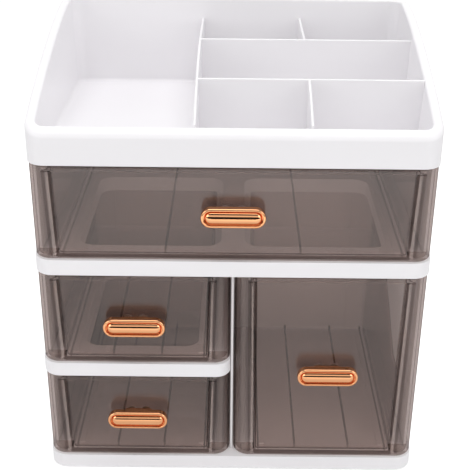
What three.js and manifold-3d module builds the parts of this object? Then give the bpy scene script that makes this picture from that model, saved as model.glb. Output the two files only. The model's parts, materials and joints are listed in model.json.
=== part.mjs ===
// Desktop organizer: a white moulded housing with an open divided tray on top and four smoky
// see-through drawers, each pulled by a plated pill-shaped knob.
// Millimetres, +Z up, drawers open towards -Y. The origin is under the middle of the object.
import * as THREE from "three";
import { mergeVertices } from "three/addons/utils/BufferGeometryUtils.js";
import Module from "manifold-3d";

const wasm = await Module();
wasm.setup();

// Driving dimensions of the housing
const bodyWidth = 292;
const bodyDepth = 205;
const frontCornerRadius = 14;
const backCornerRadius = 18;
const baseHeight = 11.5;
const lowerBayHeight = 75.9;
const smallShelfHeight = 11.3;
const upperBayHeight = 76.3;
const mainShelfHeight = 12.3;
const wideBayHeight = 73.7;

// Clearances
const seatGap = 0.3; // between pieces that are pushed together
const slideGap = 0.6; // between a drawer and what guides it
const overrun = 1; // how far a cut runs past the face it opens
const weldDistance = 0.0001; // points closer than this are one point

// Feet: rubber pads pressed into round seats under the base
const footRadius = 7;
const footThickness = 2.4;
const footProud = 1.2;
const footInset = 24;

// Walls of the moulded plates
const skirtWall = 2.2;
const plateThickness = 2.4;
const troughWidth = 3;
const troughDepth = 5;
const beamDepth = 15; // the hollow front beam of every level, which the drawer fronts stand in line with
const ribWall = 1.6;
const ribGridColumns = 8;
const ribGridRows = 6;

// Shelf cut-outs
const cutoutFront = 26;
const cutoutBack = 160;
const cutoutRadius = 12;
const cutoutWall = 2;
const cutoutWebHalf = 9; // half of the web left between the two cut-outs of the main shelf
const cutoutSideMargin = 30;
const smallCutoutInnerMargin = 26;
const smallShelfInnerRadius = 12; // front corner of the small shelf beside the partition

// Panels that stand in the troughs
const panelThickness = 2.4;
const panelOverlapInTray = 8;
const cornerReturn = 10; // flat stretch of a side panel round the back corner
const stripWidth = 14; // backing strip behind the joint of side and back panel
const stripOverlap = 8;
const stripThickness = 2;
const ledgeWidth = 4;
const ledgeHeight = 3;
const ledgeStart = 18;

// Partition between the small drawers and the tall one
const partitionThickness = 1.8;
const partitionFront = 10.5; // how far behind the white bands' faces the partition starts
const partitionRailHeight = 3;

// Runners and guide rails that the drawers slide on
const runnerHeight = 1.2;
const runnerWidth = 4;
const runnerInset = 7;
const railHeight = 4;
const railWall = 2;
const railStart = 16;
const railEndMargin = 12;

// Top tray
const trayFrontHeight = 23.5; // height of the rim over the tray's lower edge at the front face
const trayRise = 51.5; // how much higher the rim is at the back
const trayRiseRun = 188;
const rimWidth = 7.8;
const rimOuterRadius = 4;
const rimInnerRadius = 2;
const rimThickness = 3;
const trayWall = 2.2;
const trayDraft = 2.4; // how far the inner walls lean in from rim to floor
const trayFloorThickness = 2.5;
const dividerFrontHeight = 24; // height of the dividers at the front face, over the tray's lower edge
const dividerRise = 34.5;
const dividerRiseRun = 130;
const dividerThickness = 2;
const mainDividerX = -27.5;
const smallDividerX = 54.3;
const frontCrossDividerY = 57.7;
const backCrossDividerY = 126.5;

// Drawers
const frontInset = 1; // drawer faces lie this far behind the white bands
const frontSideInset = 1;
const frontGap = 0.6;
const frontRadius = 13;
const frontWall = 2.2;
const frontEdgeRadius = 1.6; // long edges at the top and bottom of a drawer front
const frontToPanelGap = 0.6;
const pocketDepth = 3.2;
const pocketMargin = 9.9; // from a drawer front's end to the recess, on the face
const pocketSlope = 5.6; // width of the recess's slanted side
const pocketTaper = 1.9; // how much narrower each side of the recess is at its foot
const pocketTop = 4.2;
const pocketBottom = 2.6;
const pocketTopRadius = 3;
const pocketBottomRadius = 1.5;
const boxWall = 2;
const boxMargin = 13.5; // from a drawer front's end to the box's side, at the top
const boxDraft = 2.6;
const boxTopGap = 4;
const boxBackGap = 1.6;
const boxFloorRadius = 4;
const boxBackRadius = 8;
const boxFrontRadius = 2;
const floorRibWidth = 1.2;
const floorRibHeight = 0.8;
const floorRibStart = 12;
const floorRibEndMargin = 12;
const wideRibSpacing = 100;
const smallRibSpacing = 37.5;
const tallRibSpacing = 43.6;
const tallSideFrontHeight = 75; // side walls of the tall drawer, over its bay's floor, near the front
const tallSideFrontRun = 36;

// Knobs
const knobWidth = 46.5;
const knobHeight = 15;
const knobThickness = 7.2;
const knobStandoff = 5.2;
const knobBevel = 1.6;
const knobRim = 2;
const knobGroove = 0.7;
const knobPocketDepth = 2.4;
const knobBarProud = 0.9;
const stemWidth = 19;
const stemRootWidth = 21;
const stemHeight = 9;
const stemCornerRadius = 1.6;
const wideKnobLift = 0.8; // how far a knob sits over the middle of its bay
const upperKnobLift = -2.8;
const lowerKnobLift = 0.9;
const tallKnobLift = -1.3;

// Screws that hold a knob from inside the drawer
const screwSpacing = 11.4;
const screwHeadRadius = 4;
const screwHeadHeight = 2;
const screwShankRadius = 1.4;
const screwLength = 9;
const screwDomeShares = [0.85, 0.7]; // radius and height of the edge where the head's dome turns down
const screwHoleClearance = 0.3;
const screwRecessWidth = 0.9;
const screwRecessLength = 4.4;
const screwRecessDepth = 1;

// Levels, worked out from the driving dimensions
const baseBottom = footProud;
const baseTop = baseBottom + baseHeight;
const smallShelfBottom = baseTop + lowerBayHeight;
const smallShelfTop = smallShelfBottom + smallShelfHeight;
const mainShelfBottom = smallShelfTop + upperBayHeight;
const mainShelfTop = mainShelfBottom + mainShelfHeight;
const trayBottom = mainShelfTop + wideBayHeight;
const halfWidth = bodyWidth / 2;
const panelInset = skirtWall + seatGap;
const panelInner = panelInset + panelThickness;
const plateInner = skirtWall + troughWidth + skirtWall;
const panelFront = beamDepth + seatGap;
const partitionFace = partitionThickness / 2 + seatGap;
const backFace = bodyDepth - panelInner;

// Turns a closed geometry into a solid that can be joined and cut.
function solid(geometry) {
  const bare = geometry.index ? geometry.toNonIndexed() : geometry.clone();
  bare.deleteAttribute("normal");
  bare.deleteAttribute("uv");
  const merged = mergeVertices(bare, weldDistance);
  return new wasm.Manifold(
    new wasm.Mesh({
      numProp: 3,
      vertProperties: new Float32Array(merged.attributes.position.array),
      triVerts: new Uint32Array(merged.index.array),
    }),
  );
}

function geometryOf(made) {
  const mesh = made.getMesh();
  const geometry = new THREE.BufferGeometry();
  geometry.setAttribute("position", new THREE.BufferAttribute(mesh.vertProperties, 3));
  geometry.setIndex(new THREE.BufferAttribute(mesh.triVerts, 1));
  const flat = geometry.toNonIndexed();
  flat.computeVertexNormals();
  return flat;
}

// Box between two corners.
function block(x0, x1, y0, y1, z0, z1) {
  const geometry = new THREE.BoxGeometry(x1 - x0, y1 - y0, z1 - z0);
  geometry.translate((x0 + x1) / 2, (y0 + y1) / 2, (z0 + z1) / 2);
  return solid(geometry);
}

// Outline in plan with its own radius at the front and at the back corners.
function planShape(x0, x1, y0, y1, frontLeft, frontRight, backLeft, backRight) {
  const shape = new THREE.Shape();
  shape.moveTo(x0 + frontLeft, y0);
  shape.lineTo(x1 - frontRight, y0);
  if (frontRight > 0) shape.absarc(x1 - frontRight, y0 + frontRight, frontRight, -Math.PI / 2, 0);
  shape.lineTo(x1, y1 - backRight);
  if (backRight > 0) shape.absarc(x1 - backRight, y1 - backRight, backRight, 0, Math.PI / 2);
  shape.lineTo(x0 + backLeft, y1);
  if (backLeft > 0) shape.absarc(x0 + backLeft, y1 - backLeft, backLeft, Math.PI / 2, Math.PI);
  shape.lineTo(x0, y0 + frontLeft);
  if (frontLeft > 0) shape.absarc(x0 + frontLeft, y0 + frontLeft, frontLeft, Math.PI, Math.PI * 1.5);
  return shape;
}

function prism(shape, z0, z1, curveSegments = 4) {
  const geometry = new THREE.ExtrudeGeometry(shape, { depth: z1 - z0, bevelEnabled: false, curveSegments });
  geometry.translate(0, 0, z0);
  return solid(geometry);
}

// Outline raised to a plate whose upper and lower edges are rounded.
function softPrism(shape, z0, z1, radius) {
  const geometry = new THREE.ExtrudeGeometry(shape, {
    depth: z1 - z0 - 2 * radius, bevelEnabled: true, bevelThickness: radius, bevelSize: radius,
    bevelOffset: -radius, bevelSegments: 2, curveSegments: 4,
  });
  geometry.translate(0, 0, z0 + radius);
  return solid(geometry);
}

// The body's outline drawn in by an inset, between two heights.
function bodySlab(inset, z0, z1) {
  const front = Math.max(frontCornerRadius - inset, 0);
  const back = Math.max(backCornerRadius - inset, 0);
  const shape = planShape(
    -halfWidth + inset, halfWidth - inset, inset, bodyDepth - inset, front, front, back, back,
  );
  return prism(shape, z0, z1);
}

// A profile in the YZ plane, as [y, z] pairs, given a thickness along X.
function sideProfile(points, x0, x1) {
  const shape = new THREE.Shape(points.map(([y, z]) => new THREE.Vector2(y, z)));
  const geometry = new THREE.ExtrudeGeometry(shape, { depth: x1 - x0, bevelEnabled: false });
  geometry.applyMatrix4(new THREE.Matrix4().set(0, 0, 1, x0, 1, 0, 0, 0, 0, 1, 0, 0, 0, 0, 0, 1));
  return solid(geometry);
}

// Rod along Y.
function rod(radius, x, z, y0, y1, sides = 16) {
  const geometry = new THREE.CylinderGeometry(radius, radius, y1 - y0, sides);
  geometry.translate(x, (y0 + y1) / 2, z);
  return solid(geometry);
}

// Rod along Z.
function post(radius, x, y, z0, z1, sides = 24) {
  const geometry = new THREE.CylinderGeometry(radius, radius, z1 - z0, sides);
  geometry.rotateX(Math.PI / 2);
  geometry.translate(x, y, (z0 + z1) / 2);
  return solid(geometry);
}

// Skin over a stack of closed convex rings, capped at both ends.
function loft(rings) {
  const count = rings[0].length;
  const position = [];
  const index = [];
  rings.forEach((ring) => ring.forEach((p) => position.push(p.x, p.y, p.z)));
  for (let r = 0; r < rings.length - 1; r += 1) {
    for (let i = 0; i < count; i += 1) {
      const a = r * count + i;
      const b = r * count + ((i + 1) % count);
      index.push(a, b, b + count, a, b + count, a + count);
    }
  }
  for (let i = 1; i < count - 1; i += 1) {
    const last = (rings.length - 1) * count;
    index.push(0, i + 1, i, last, last + i, last + i + 1);
  }
  const geometry = new THREE.BufferGeometry();
  geometry.setAttribute("position", new THREE.Float32BufferAttribute(position, 3));
  geometry.setIndex(index);
  return solid(geometry);
}

// A closed profile carried round a closed path: grid[i][j] is profile point j at path point i.
function ringSweep(grid) {
  const around = grid.length;
  const across = grid[0].length;
  const position = grid.flat().flatMap((p) => [p.x, p.y, p.z]);
  const index = [];
  for (let i = 0; i < around; i += 1) {
    for (let j = 0; j < across; j += 1) {
      const a = i * across + j;
      const b = ((i + 1) % around) * across + j;
      const c = ((i + 1) % around) * across + ((j + 1) % across);
      const d = i * across + ((j + 1) % across);
      index.push(a, b, c, a, c, d);
    }
  }
  const geometry = new THREE.BufferGeometry();
  geometry.setAttribute("position", new THREE.Float32BufferAttribute(position, 3));
  geometry.setIndex(index);
  return solid(geometry);
}

function joined(first, ...rest) {
  return rest.reduce((all, next) => all.add(next), first);
}

function cut(first, ...rest) {
  return rest.reduce((left, next) => left.subtract(next), first);
}

// Points of a rounded rectangle, counter-clockwise from its first corner, as plain pairs.
function roundedPairs(x0, x1, y0, y1, radii, steps) {
  const corners = [
    [x1, y0, -1, 1, -Math.PI / 2, radii[1]],
    [x1, y1, -1, -1, 0, radii[2]],
    [x0, y1, 1, -1, Math.PI / 2, radii[3]],
    [x0, y0, 1, 1, Math.PI, radii[0]],
  ];
  return corners.flatMap(([x, y, sx, sy, start, radius]) =>
    Array.from({ length: steps + 1 }, (unused, i) => {
      const angle = start + ((Math.PI / 2) * i) / steps;
      return [x + sx * radius + radius * Math.cos(angle), y + sy * radius + radius * Math.sin(angle)];
    }),
  );
}

// Height of a rising curve at a distance from the front, flat past its run.
function riseAt(distance, run, rise, pullShares) {
  const [x1, y1, x2, y2] = pullShares;
  const curve = new THREE.CubicBezierCurve(
    new THREE.Vector2(0, 0), new THREE.Vector2(x1, y1), new THREE.Vector2(x2, y2), new THREE.Vector2(1, 1),
  );
  const share = Math.min(Math.max(distance / run, 0), 1);
  let low = 0;
  let high = 1;
  for (let i = 0; i < 30; i += 1) {
    const middle = (low + high) / 2;
    if (curve.getPoint(middle).x < share) low = middle;
    else high = middle;
  }
  return curve.getPoint(low).y * rise;
}

const traySeatSideShares = [0.15, 0.4, 0.65, 0.85];
const traySeatBackShares = [-0.7, -0.3, 0.3, 0.7];
const rimPullShares = [0.22, 0.42, 0.75, 0.98];
const dividerPullShares = [0.2, 0.42, 0.62, 0.98];

const rimHeight = (y) => trayBottom + trayFrontHeight + riseAt(y, trayRiseRun, trayRise, rimPullShares);
const dividerTop = (y) =>
  trayBottom + dividerFrontHeight + riseAt(y, dividerRiseRun, dividerRise, dividerPullShares);

// U-shaped band that follows the sides and the back of the body, behind the front beam.
function panelBand(outerInset, innerInset, z0, z1, front) {
  const band = bodySlab(outerInset, z0, z1).subtract(bodySlab(innerInset, z0 - overrun, z1 + overrun));
  return band.subtract(block(-bodyWidth, bodyWidth, -overrun, front, z0 - overrun, z1 + overrun));
}

function trough(z0, z1) {
  return panelBand(skirtWall, skirtWall + troughWidth, z0, z1, beamDepth);
}

// Cross-section of the drawer box at floor level, which the runners and rails follow.
function boxSpan(drawer) {
  const margin = boxMargin + boxDraft;
  return [drawer.x0 + margin, drawer.x1 - margin];
}

// Two runner strips under a drawer and a guide rail on either side of it.
function runnersFor(drawer, end) {
  const [left, right] = boxSpan(drawer);
  const floor = drawer.bayBottom;
  const back = end - railEndMargin;
  const strip = (x) =>
    block(x - runnerWidth / 2, x + runnerWidth / 2, railStart, back, floor - ribWall, floor + runnerHeight);
  const rail = (x0, x1) => block(x0, x1, railStart, back, floor - ribWall, floor + railHeight);
  return joined(
    strip(left + runnerInset),
    strip(right - runnerInset),
    rail(left - slideGap - railWall, left - slideGap),
    rail(right + slideGap, right + slideGap + railWall),
  );
}

// Drawer bays, from the outer faces of the drawer fronts
const outerEnd = halfWidth - frontSideInset;
const innerEnd = partitionThickness / 2 + slideGap;
const drawers = {
  wide_drawer: {
    x0: -outerEnd, x1: outerEnd, bayBottom: mainShelfTop, bayTop: trayBottom, ribSpacing: wideRibSpacing,
    knobLift: wideKnobLift,
  },
  upper_small_drawer: {
    x0: -outerEnd, x1: -innerEnd, bayBottom: smallShelfTop, bayTop: mainShelfBottom,
    ribSpacing: smallRibSpacing, knobLift: upperKnobLift,
  },
  lower_small_drawer: {
    x0: -outerEnd, x1: -innerEnd, bayBottom: baseTop, bayTop: smallShelfBottom, ribSpacing: smallRibSpacing,
    knobLift: lowerKnobLift,
  },
  tall_drawer: {
    x0: innerEnd, x1: outerEnd, bayBottom: baseTop, bayTop: mainShelfBottom, ribSpacing: tallRibSpacing,
    knobLift: tallKnobLift, slopedSides: true,
  },
};

// Height of a knob's middle line, near the middle of its bay
function knobLine(drawer) {
  return (drawer.bayBottom + drawer.bayTop) / 2 + drawer.knobLift;
}

const footPlaces = [
  ["foot_front_left", -1, footInset],
  ["foot_front_right", 1, footInset],
  ["foot_back_left", -1, bodyDepth - footInset],
  ["foot_back_right", 1, bodyDepth - footInset],
];
const footSeatRadius = footRadius + seatGap;
const footSeatDepth = footThickness - footProud + seatGap;

// Base: a plate on a skirt, ribbed underneath, with round seats for the feet.
function basePanel() {
  const bottom = baseBottom;
  const top = baseTop;
  let base = bodySlab(0, bottom, top).subtract(trough(top - troughDepth, top + overrun));
  const left = -halfWidth + plateInner;
  const front = skirtWall;
  const columnPitch = (2 * -left + ribWall) / ribGridColumns;
  const rowPitch = (bodyDepth - plateInner - front + ribWall) / ribGridRows;
  let cells = null;
  for (let column = 0; column < ribGridColumns; column += 1) {
    for (let row = 0; row < ribGridRows; row += 1) {
      const x = left + column * columnPitch;
      const y = front + row * rowPitch;
      const cell = block(
        x, x + columnPitch - ribWall, y, y + rowPitch - ribWall, bottom - overrun, top - plateThickness,
      );
      cells = cells ? cells.add(cell) : cell;
    }
  }
  const roundedInside = bodySlab(plateInner, bottom - overrun, top);
  const frontInside = bodySlab(skirtWall, bottom - overrun, top).intersect(
    block(left, -left, 0, beamDepth, bottom - overrun, top),
  );
  cells = cells.intersect(roundedInside.add(frontInside));
  footPlaces.forEach(([, side, y]) => {
    const x = side * (halfWidth - footInset);
    cells = cells.subtract(post(footSeatRadius + skirtWall, x, y, bottom - overrun, top));
  });
  base = base.subtract(cells);
  footPlaces.forEach(([, side, y]) => {
    const x = side * (halfWidth - footInset);
    base = base.subtract(post(footSeatRadius, x, y, bottom - overrun, bottom + footSeatDepth));
  });
  const railX = partitionFace + ribWall;
  const railBack = backFace - seatGap - railEndMargin;
  [-1, 1].forEach((side) => {
    const x0 = side < 0 ? -railX : partitionFace;
    base = base.add(block(x0, x0 + ribWall, railStart, railBack, top - ribWall, top + partitionRailHeight));
  });
  base = base.add(runnersFor(drawers.lower_small_drawer, backFace));
  return base.add(runnersFor(drawers.tall_drawer, backFace));
}

function foot(side, y) {
  const geometry = new THREE.LatheGeometry(
    [
      new THREE.Vector2(0, 0),
      new THREE.Vector2(footRadius - footProud / 2, 0),
      new THREE.Vector2(footRadius, footProud / 2),
      new THREE.Vector2(footRadius, footThickness),
      new THREE.Vector2(0, footThickness),
    ],
    24,
  );
  geometry.rotateX(Math.PI / 2);
  geometry.translate(side * (halfWidth - footInset), y, 0);
  return solid(geometry);
}

function cutoutShape(x0, x1, grow) {
  const radius = cutoutRadius + grow;
  return planShape(
    x0 - grow, x1 + grow, cutoutFront - grow, cutoutBack + grow, radius, radius, radius, radius,
  );
}

// Main shelf: troughs above and below, a hollow front beam and two large cut-outs with rims.
function mainShelf() {
  const bottom = mainShelfBottom;
  const top = mainShelfTop;
  const ceiling = top - plateThickness;
  const outer = halfWidth - cutoutSideMargin;
  const spans = [[-outer, -cutoutWebHalf], [cutoutWebHalf, outer]];
  let inside = bodySlab(plateInner, bottom - overrun, ceiling).subtract(
    block(-bodyWidth, bodyWidth, -overrun, beamDepth, bottom - overrun, top),
  );
  spans.forEach(([x0, x1]) => {
    inside = inside.subtract(prism(cutoutShape(x0, x1, cutoutWall), bottom - overrun, top));
  });
  const ribX = partitionFace + ribWall;
  inside = cut(
    inside,
    block(-ribX, -partitionFace, 0, bodyDepth, bottom - overrun, top),
    block(partitionFace, ribX, 0, bodyDepth, bottom - overrun, top),
  );
  const rearRib = (cutoutBack + bodyDepth - plateInner) / 2;
  const ribMiddle = partitionFace + ribWall / 2;
  inside = inside.subtract(
    block(-halfWidth, -ribMiddle, rearRib, rearRib + ribWall, bottom - overrun, top).add(
      block(ribMiddle, halfWidth, rearRib, rearRib + ribWall, bottom - overrun, top),
    ),
  );
  const beam = bodySlab(skirtWall, bottom - overrun, ceiling).intersect(
    block(-bodyWidth, bodyWidth, 0, beamDepth - skirtWall, bottom - overrun, top),
  );
  let shelf = cut(
    bodySlab(0, bottom, top),
    trough(top - troughDepth, top + overrun),
    trough(bottom - overrun, bottom + troughDepth),
    inside,
    beam,
  );
  spans.forEach(([x0, x1]) => {
    shelf = shelf.subtract(prism(cutoutShape(x0, x1, 0), bottom - overrun, top + overrun));
  });
  return shelf.add(runnersFor(drawers.wide_drawer, backFace));
}

// Small shelf: a full-width nose in front, and a ribbed plate that lies on the ledges behind it.
function smallShelf() {
  const bottom = smallShelfBottom;
  const top = smallShelfTop;
  const ceiling = top - plateThickness;
  const right = -partitionFace;
  const left = -halfWidth + panelInner + seatGap;
  const back = backFace - stripThickness - 2 * seatGap;
  const past = beamDepth + frontCornerRadius + smallShelfInnerRadius; // keeps the nose's corners whole
  const noseSlab = (inset, z0, z1) => {
    const outline = planShape(
      -halfWidth + inset, right - inset, inset, past,
      frontCornerRadius - inset, smallShelfInnerRadius - inset, 0, 0,
    );
    const rest = block(-halfWidth, halfWidth, beamDepth - inset, past + overrun, z0 - overrun, z1 + overrun);
    return prism(outline, z0, z1).subtract(rest);
  };
  const nose = noseSlab(0, bottom, top);
  const backRadius = backCornerRadius - panelInner - seatGap;
  const plate = prism(planShape(left, right, beamDepth - skirtWall, back, 0, 0, backRadius, 0), bottom, top);
  const x0 = -halfWidth + cutoutSideMargin;
  const x1 = -smallCutoutInnerMargin;
  const noseHollow = noseSlab(skirtWall, bottom - overrun, ceiling);
  const rearRib = (cutoutBack + back - skirtWall) / 2;
  const plateHollow = cut(
    prism(
      planShape(
        left + skirtWall, right - skirtWall, beamDepth, back - skirtWall, 0, 0, backRadius - skirtWall, 0,
      ),
      bottom - overrun, ceiling,
    ),
    prism(cutoutShape(x0, x1, cutoutWall), bottom - overrun, top),
    block(left, right, rearRib, rearRib + ribWall, bottom - overrun, top),
  );
  const opening = prism(cutoutShape(x0, x1, 0), bottom - overrun, top + overrun);
  const shelf = cut(nose.add(plate), noseHollow, plateHollow, opening);
  return shelf.add(runnersFor(drawers.upper_small_drawer, back));
}

// Partition: a plain plate whose top edge reaches between the ribs under the main shelf.
function partition() {
  const low = baseTop + seatGap;
  const shoulder = mainShelfBottom - seatGap;
  const high = mainShelfTop - plateThickness - seatGap;
  const back = backFace - seatGap;
  const tongueBack = bodyDepth - plateInner - seatGap;
  const half = partitionThickness / 2;
  const plate = sideProfile(
    [
      [partitionFront, low], [back, low], [back, shoulder], [tongueBack, shoulder],
      [tongueBack, high], [panelFront, high], [panelFront, shoulder], [partitionFront, shoulder],
    ],
    -half, half,
  );
  return plate.add(ledge(-half - ledgeWidth, -half));
}

function ledge(x0, x1) {
  const top = smallShelfBottom - seatGap;
  return block(x0, x1, ledgeStart, backFace - railEndMargin, top - ledgeHeight, top);
}

// Side panel: straight side, rounded back corner and a short return with a backing strip inside.
function sidePanel(side, [z0, z1], [stripBottom, stripTop], withLedge) {
  const joint = halfWidth - backCornerRadius - cornerReturn;
  const band = panelBand(panelInset, panelInner, z0, z1, panelFront);
  const away = side < 0
    ? block(-joint, bodyWidth, -overrun, bodyDepth + overrun, z0 - overrun, z1 + overrun)
    : block(-bodyWidth, joint, -overrun, bodyDepth + overrun, z0 - overrun, z1 + overrun);
  let panel = band.subtract(away);
  const near = joint - stripOverlap;
  const far = near + stripWidth;
  const stripBack = backFace - seatGap;
  const span = (a, b) => (side < 0 ? [-b, -a] : [a, b]);
  panel = joined(
    panel,
    block(...span(near, far), stripBack - stripThickness, stripBack, stripBottom, stripTop),
    block(...span(joint, far), stripBack - seatGap, backFace + seatGap, stripBottom, stripTop),
  );
  if (withLedge) {
    const inner = -halfWidth + panelInner;
    panel = panel.add(ledge(inner - panelThickness / 2, inner + ledgeWidth));
  }
  return panel;
}

function backPanel([z0, z1]) {
  const half = halfWidth - backCornerRadius - cornerReturn - seatGap;
  return block(-half, half, backFace, bodyDepth - panelInset, z0, z1);
}

// Path points round the body's outline: position and inward direction, with stations on the sides.
function outlineStations(cornerSteps, sideSteps, widthSteps) {
  const stations = [];
  const add = (x, y, nx, ny) => stations.push({ x, y, nx, ny });
  const frontX = halfWidth - frontCornerRadius;
  const backX = halfWidth - backCornerRadius;
  const backY = bodyDepth - backCornerRadius;
  const arc = (cx, cy, radius, start) => {
    for (let i = 0; i <= cornerSteps; i += 1) {
      const angle = start + ((Math.PI / 2) * i) / cornerSteps;
      const nx = -Math.cos(angle);
      const ny = -Math.sin(angle);
      add(cx - radius * nx, cy - radius * ny, nx, ny);
    }
  };
  const run = (x0, y0, x1, y1, nx, ny, steps) => {
    for (let i = 1; i < steps; i += 1) {
      add(x0 + ((x1 - x0) * i) / steps, y0 + ((y1 - y0) * i) / steps, nx, ny);
    }
  };
  run(-frontX, 0, frontX, 0, 0, 1, widthSteps);
  arc(frontX, frontCornerRadius, frontCornerRadius, -Math.PI / 2);
  run(halfWidth, frontCornerRadius, halfWidth, backY, -1, 0, sideSteps);
  arc(backX, backY, backCornerRadius, 0);
  run(backX, bodyDepth, -backX, bodyDepth, 0, -1, widthSteps);
  arc(-backX, backY, backCornerRadius, Math.PI / 2);
  run(-halfWidth, backY, -halfWidth, frontCornerRadius, 1, 0, sideSteps);
  arc(-frontX, frontCornerRadius, frontCornerRadius, Math.PI);
  return stations;
}

// Wall of the tray: outer skirt, rounded rim and inner wall, hollow between and open underneath.
// Each profile point is an inset from the outline and a drop below the rim, or null for the foot.
function trayWallProfile() {
  const points = [[0, null], [0, rimOuterRadius]];
  const turn = 3;
  for (let i = 1; i <= turn; i += 1) {
    const angle = ((Math.PI / 2) * i) / turn;
    points.push([rimOuterRadius * (1 - Math.cos(angle)), rimOuterRadius * (1 - Math.sin(angle))]);
  }
  for (let i = 0; i <= turn; i += 1) {
    const angle = ((Math.PI / 2) * i) / turn;
    const inset = rimWidth - rimInnerRadius * (1 - Math.sin(angle));
    points.push([inset, rimInnerRadius * (1 - Math.cos(angle))]);
  }
  points.push([rimWidth + trayDraft, null]);
  points.push([rimWidth + trayDraft - trayWall, null]);
  points.push([rimWidth - trayWall, rimThickness + rimInnerRadius]);
  points.push([skirtWall, rimThickness + rimInnerRadius]);
  points.push([skirtWall, null]);
  return points;
}

function topTray() {
  const profile = trayWallProfile();
  const grid = outlineStations(5, 12, 1).map(({ x, y, nx, ny }) =>
    profile.map(([inset, drop]) => {
      const py = y + inset * ny;
      const z = drop === null ? trayBottom : rimHeight(py) - drop;
      return new THREE.Vector3(x + inset * nx, py, z);
    }),
  );
  const wall = ringSweep(grid);
  const innerInset = rimWidth + trayDraft;
  const floor = bodySlab(innerInset - trayWall / 2, trayBottom, trayBottom + trayFloorThickness);
  const dividerFoot = trayBottom + trayFloorThickness / 2;
  const backReach = bodyDepth - rimWidth;
  return joined(
    wall,
    floor,
    ...traySeats(),
    longDivider(mainDividerX, rimWidth, backReach, dividerFoot),
    longDivider(smallDividerX, rimWidth, frontCrossDividerY, dividerFoot),
    longDivider(smallDividerX, backCrossDividerY, backReach, dividerFoot),
    crossDivider(frontCrossDividerY, dividerFoot),
    crossDivider(backCrossDividerY, dividerFoot),
  );
}

// Divider that runs from front to back, with the dividers' curved top edge.
function longDivider(x, y0, y1, foot) {
  const steps = 12;
  const top = Array.from({ length: steps + 1 }, (unused, i) => {
    const y = y1 - ((y1 - y0) * i) / steps;
    return [y, dividerTop(y)];
  });
  const half = dividerThickness / 2;
  return sideProfile([[y0, foot], [y1, foot], ...top], x - half, x + half);
}

function crossDivider(y, foot) {
  const half = dividerThickness / 2;
  return block(mainDividerX, halfWidth - rimWidth, y - half, y + half, foot, dividerTop(y));
}

// Webs inside the hollow wall, which rest on the top edges of the upper panels.
function traySeats() {
  const low = trayBottom + panelOverlapInTray + seatGap;
  const high = trayBottom + trayFrontHeight - rimOuterRadius;
  const outer = skirtWall / 2;
  const inner = rimWidth + trayDraft - trayWall / 2;
  const sideSeats = traySeatSideShares.flatMap((share) => {
    const y = share * bodyDepth;
    return [
      block(-halfWidth + outer, -halfWidth + inner, y, y + ribWall, low, high),
      block(halfWidth - inner, halfWidth - outer, y, y + ribWall, low, high),
    ];
  });
  const backSeats = traySeatBackShares.map((share) => {
    const x = share * halfWidth;
    return block(x, x + ribWall, bodyDepth - inner, bodyDepth - outer, low, high);
  });
  return [...sideSeats, ...backSeats];
}

// Ring of the recess in a drawer front at depth y, tapering towards its foot.
function pocketRing(drawer, y, margin, grow, topRadius, bottomRadius) {
  const bottom = drawer.bayBottom + frontGap + pocketBottom - grow;
  const top = drawer.bayTop - frontGap - pocketTop + grow;
  const middle = (drawer.x0 + drawer.x1) / 2;
  const half = (drawer.x1 - drawer.x0) / 2 - margin + grow;
  const radii = [bottomRadius, bottomRadius, topRadius, topRadius];
  return roundedPairs(-half, half, bottom, top, radii, 3).map(([x, z]) => {
    const fall = (top - z) / (top - bottom);
    const side = x - (Math.sign(x) * pocketTaper * fall * Math.abs(x)) / half;
    return new THREE.Vector3(middle + side, y, z);
  }).reverse();
}

// The recess as a solid: straight in at top and bottom, slanted at its sides.
function pocketSolid(drawer, grow) {
  const face = frontInset;
  const deep = face + pocketDepth + grow;
  const topRadius = pocketTopRadius + grow;
  const bottomRadius = pocketBottomRadius + grow;
  const outer = pocketMargin;
  const inner = pocketMargin + pocketSlope;
  return loft([
    pocketRing(drawer, face - overrun, outer, grow, topRadius, bottomRadius),
    pocketRing(drawer, face, outer, grow, topRadius, bottomRadius),
    pocketRing(drawer, deep, inner, grow, topRadius, bottomRadius),
  ]);
}

// Drawer box: rounded foot, drafted walls; grow is minus the wall for the hollow.
function boxSolid(drawer, wall, front, back, bottom, top) {
  const bottomMargin = boxMargin + boxDraft + wall;
  const topMargin = boxMargin + wall;
  const radius = Math.max(boxFloorRadius - wall, boxFloorRadius / 2);
  const ring = (z, margin, shrink) => {
    const backRadius = boxBackRadius - wall;
    const radii = [boxFrontRadius, boxFrontRadius, backRadius, backRadius];
    return roundedPairs(
      drawer.x0 + margin + shrink, drawer.x1 - margin - shrink, front, back - shrink, radii, 3,
    ).map(([x, y]) => new THREE.Vector3(x, y, z));
  };
  const turn = 3;
  const rings = [];
  for (let i = 0; i <= turn; i += 1) {
    const angle = ((Math.PI / 2) * i) / turn;
    rings.push(ring(bottom + radius * (1 - Math.cos(angle)), bottomMargin, radius * (1 - Math.sin(angle))));
  }
  rings.push(ring(top, topMargin, 0));
  return loft(rings);
}

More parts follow.
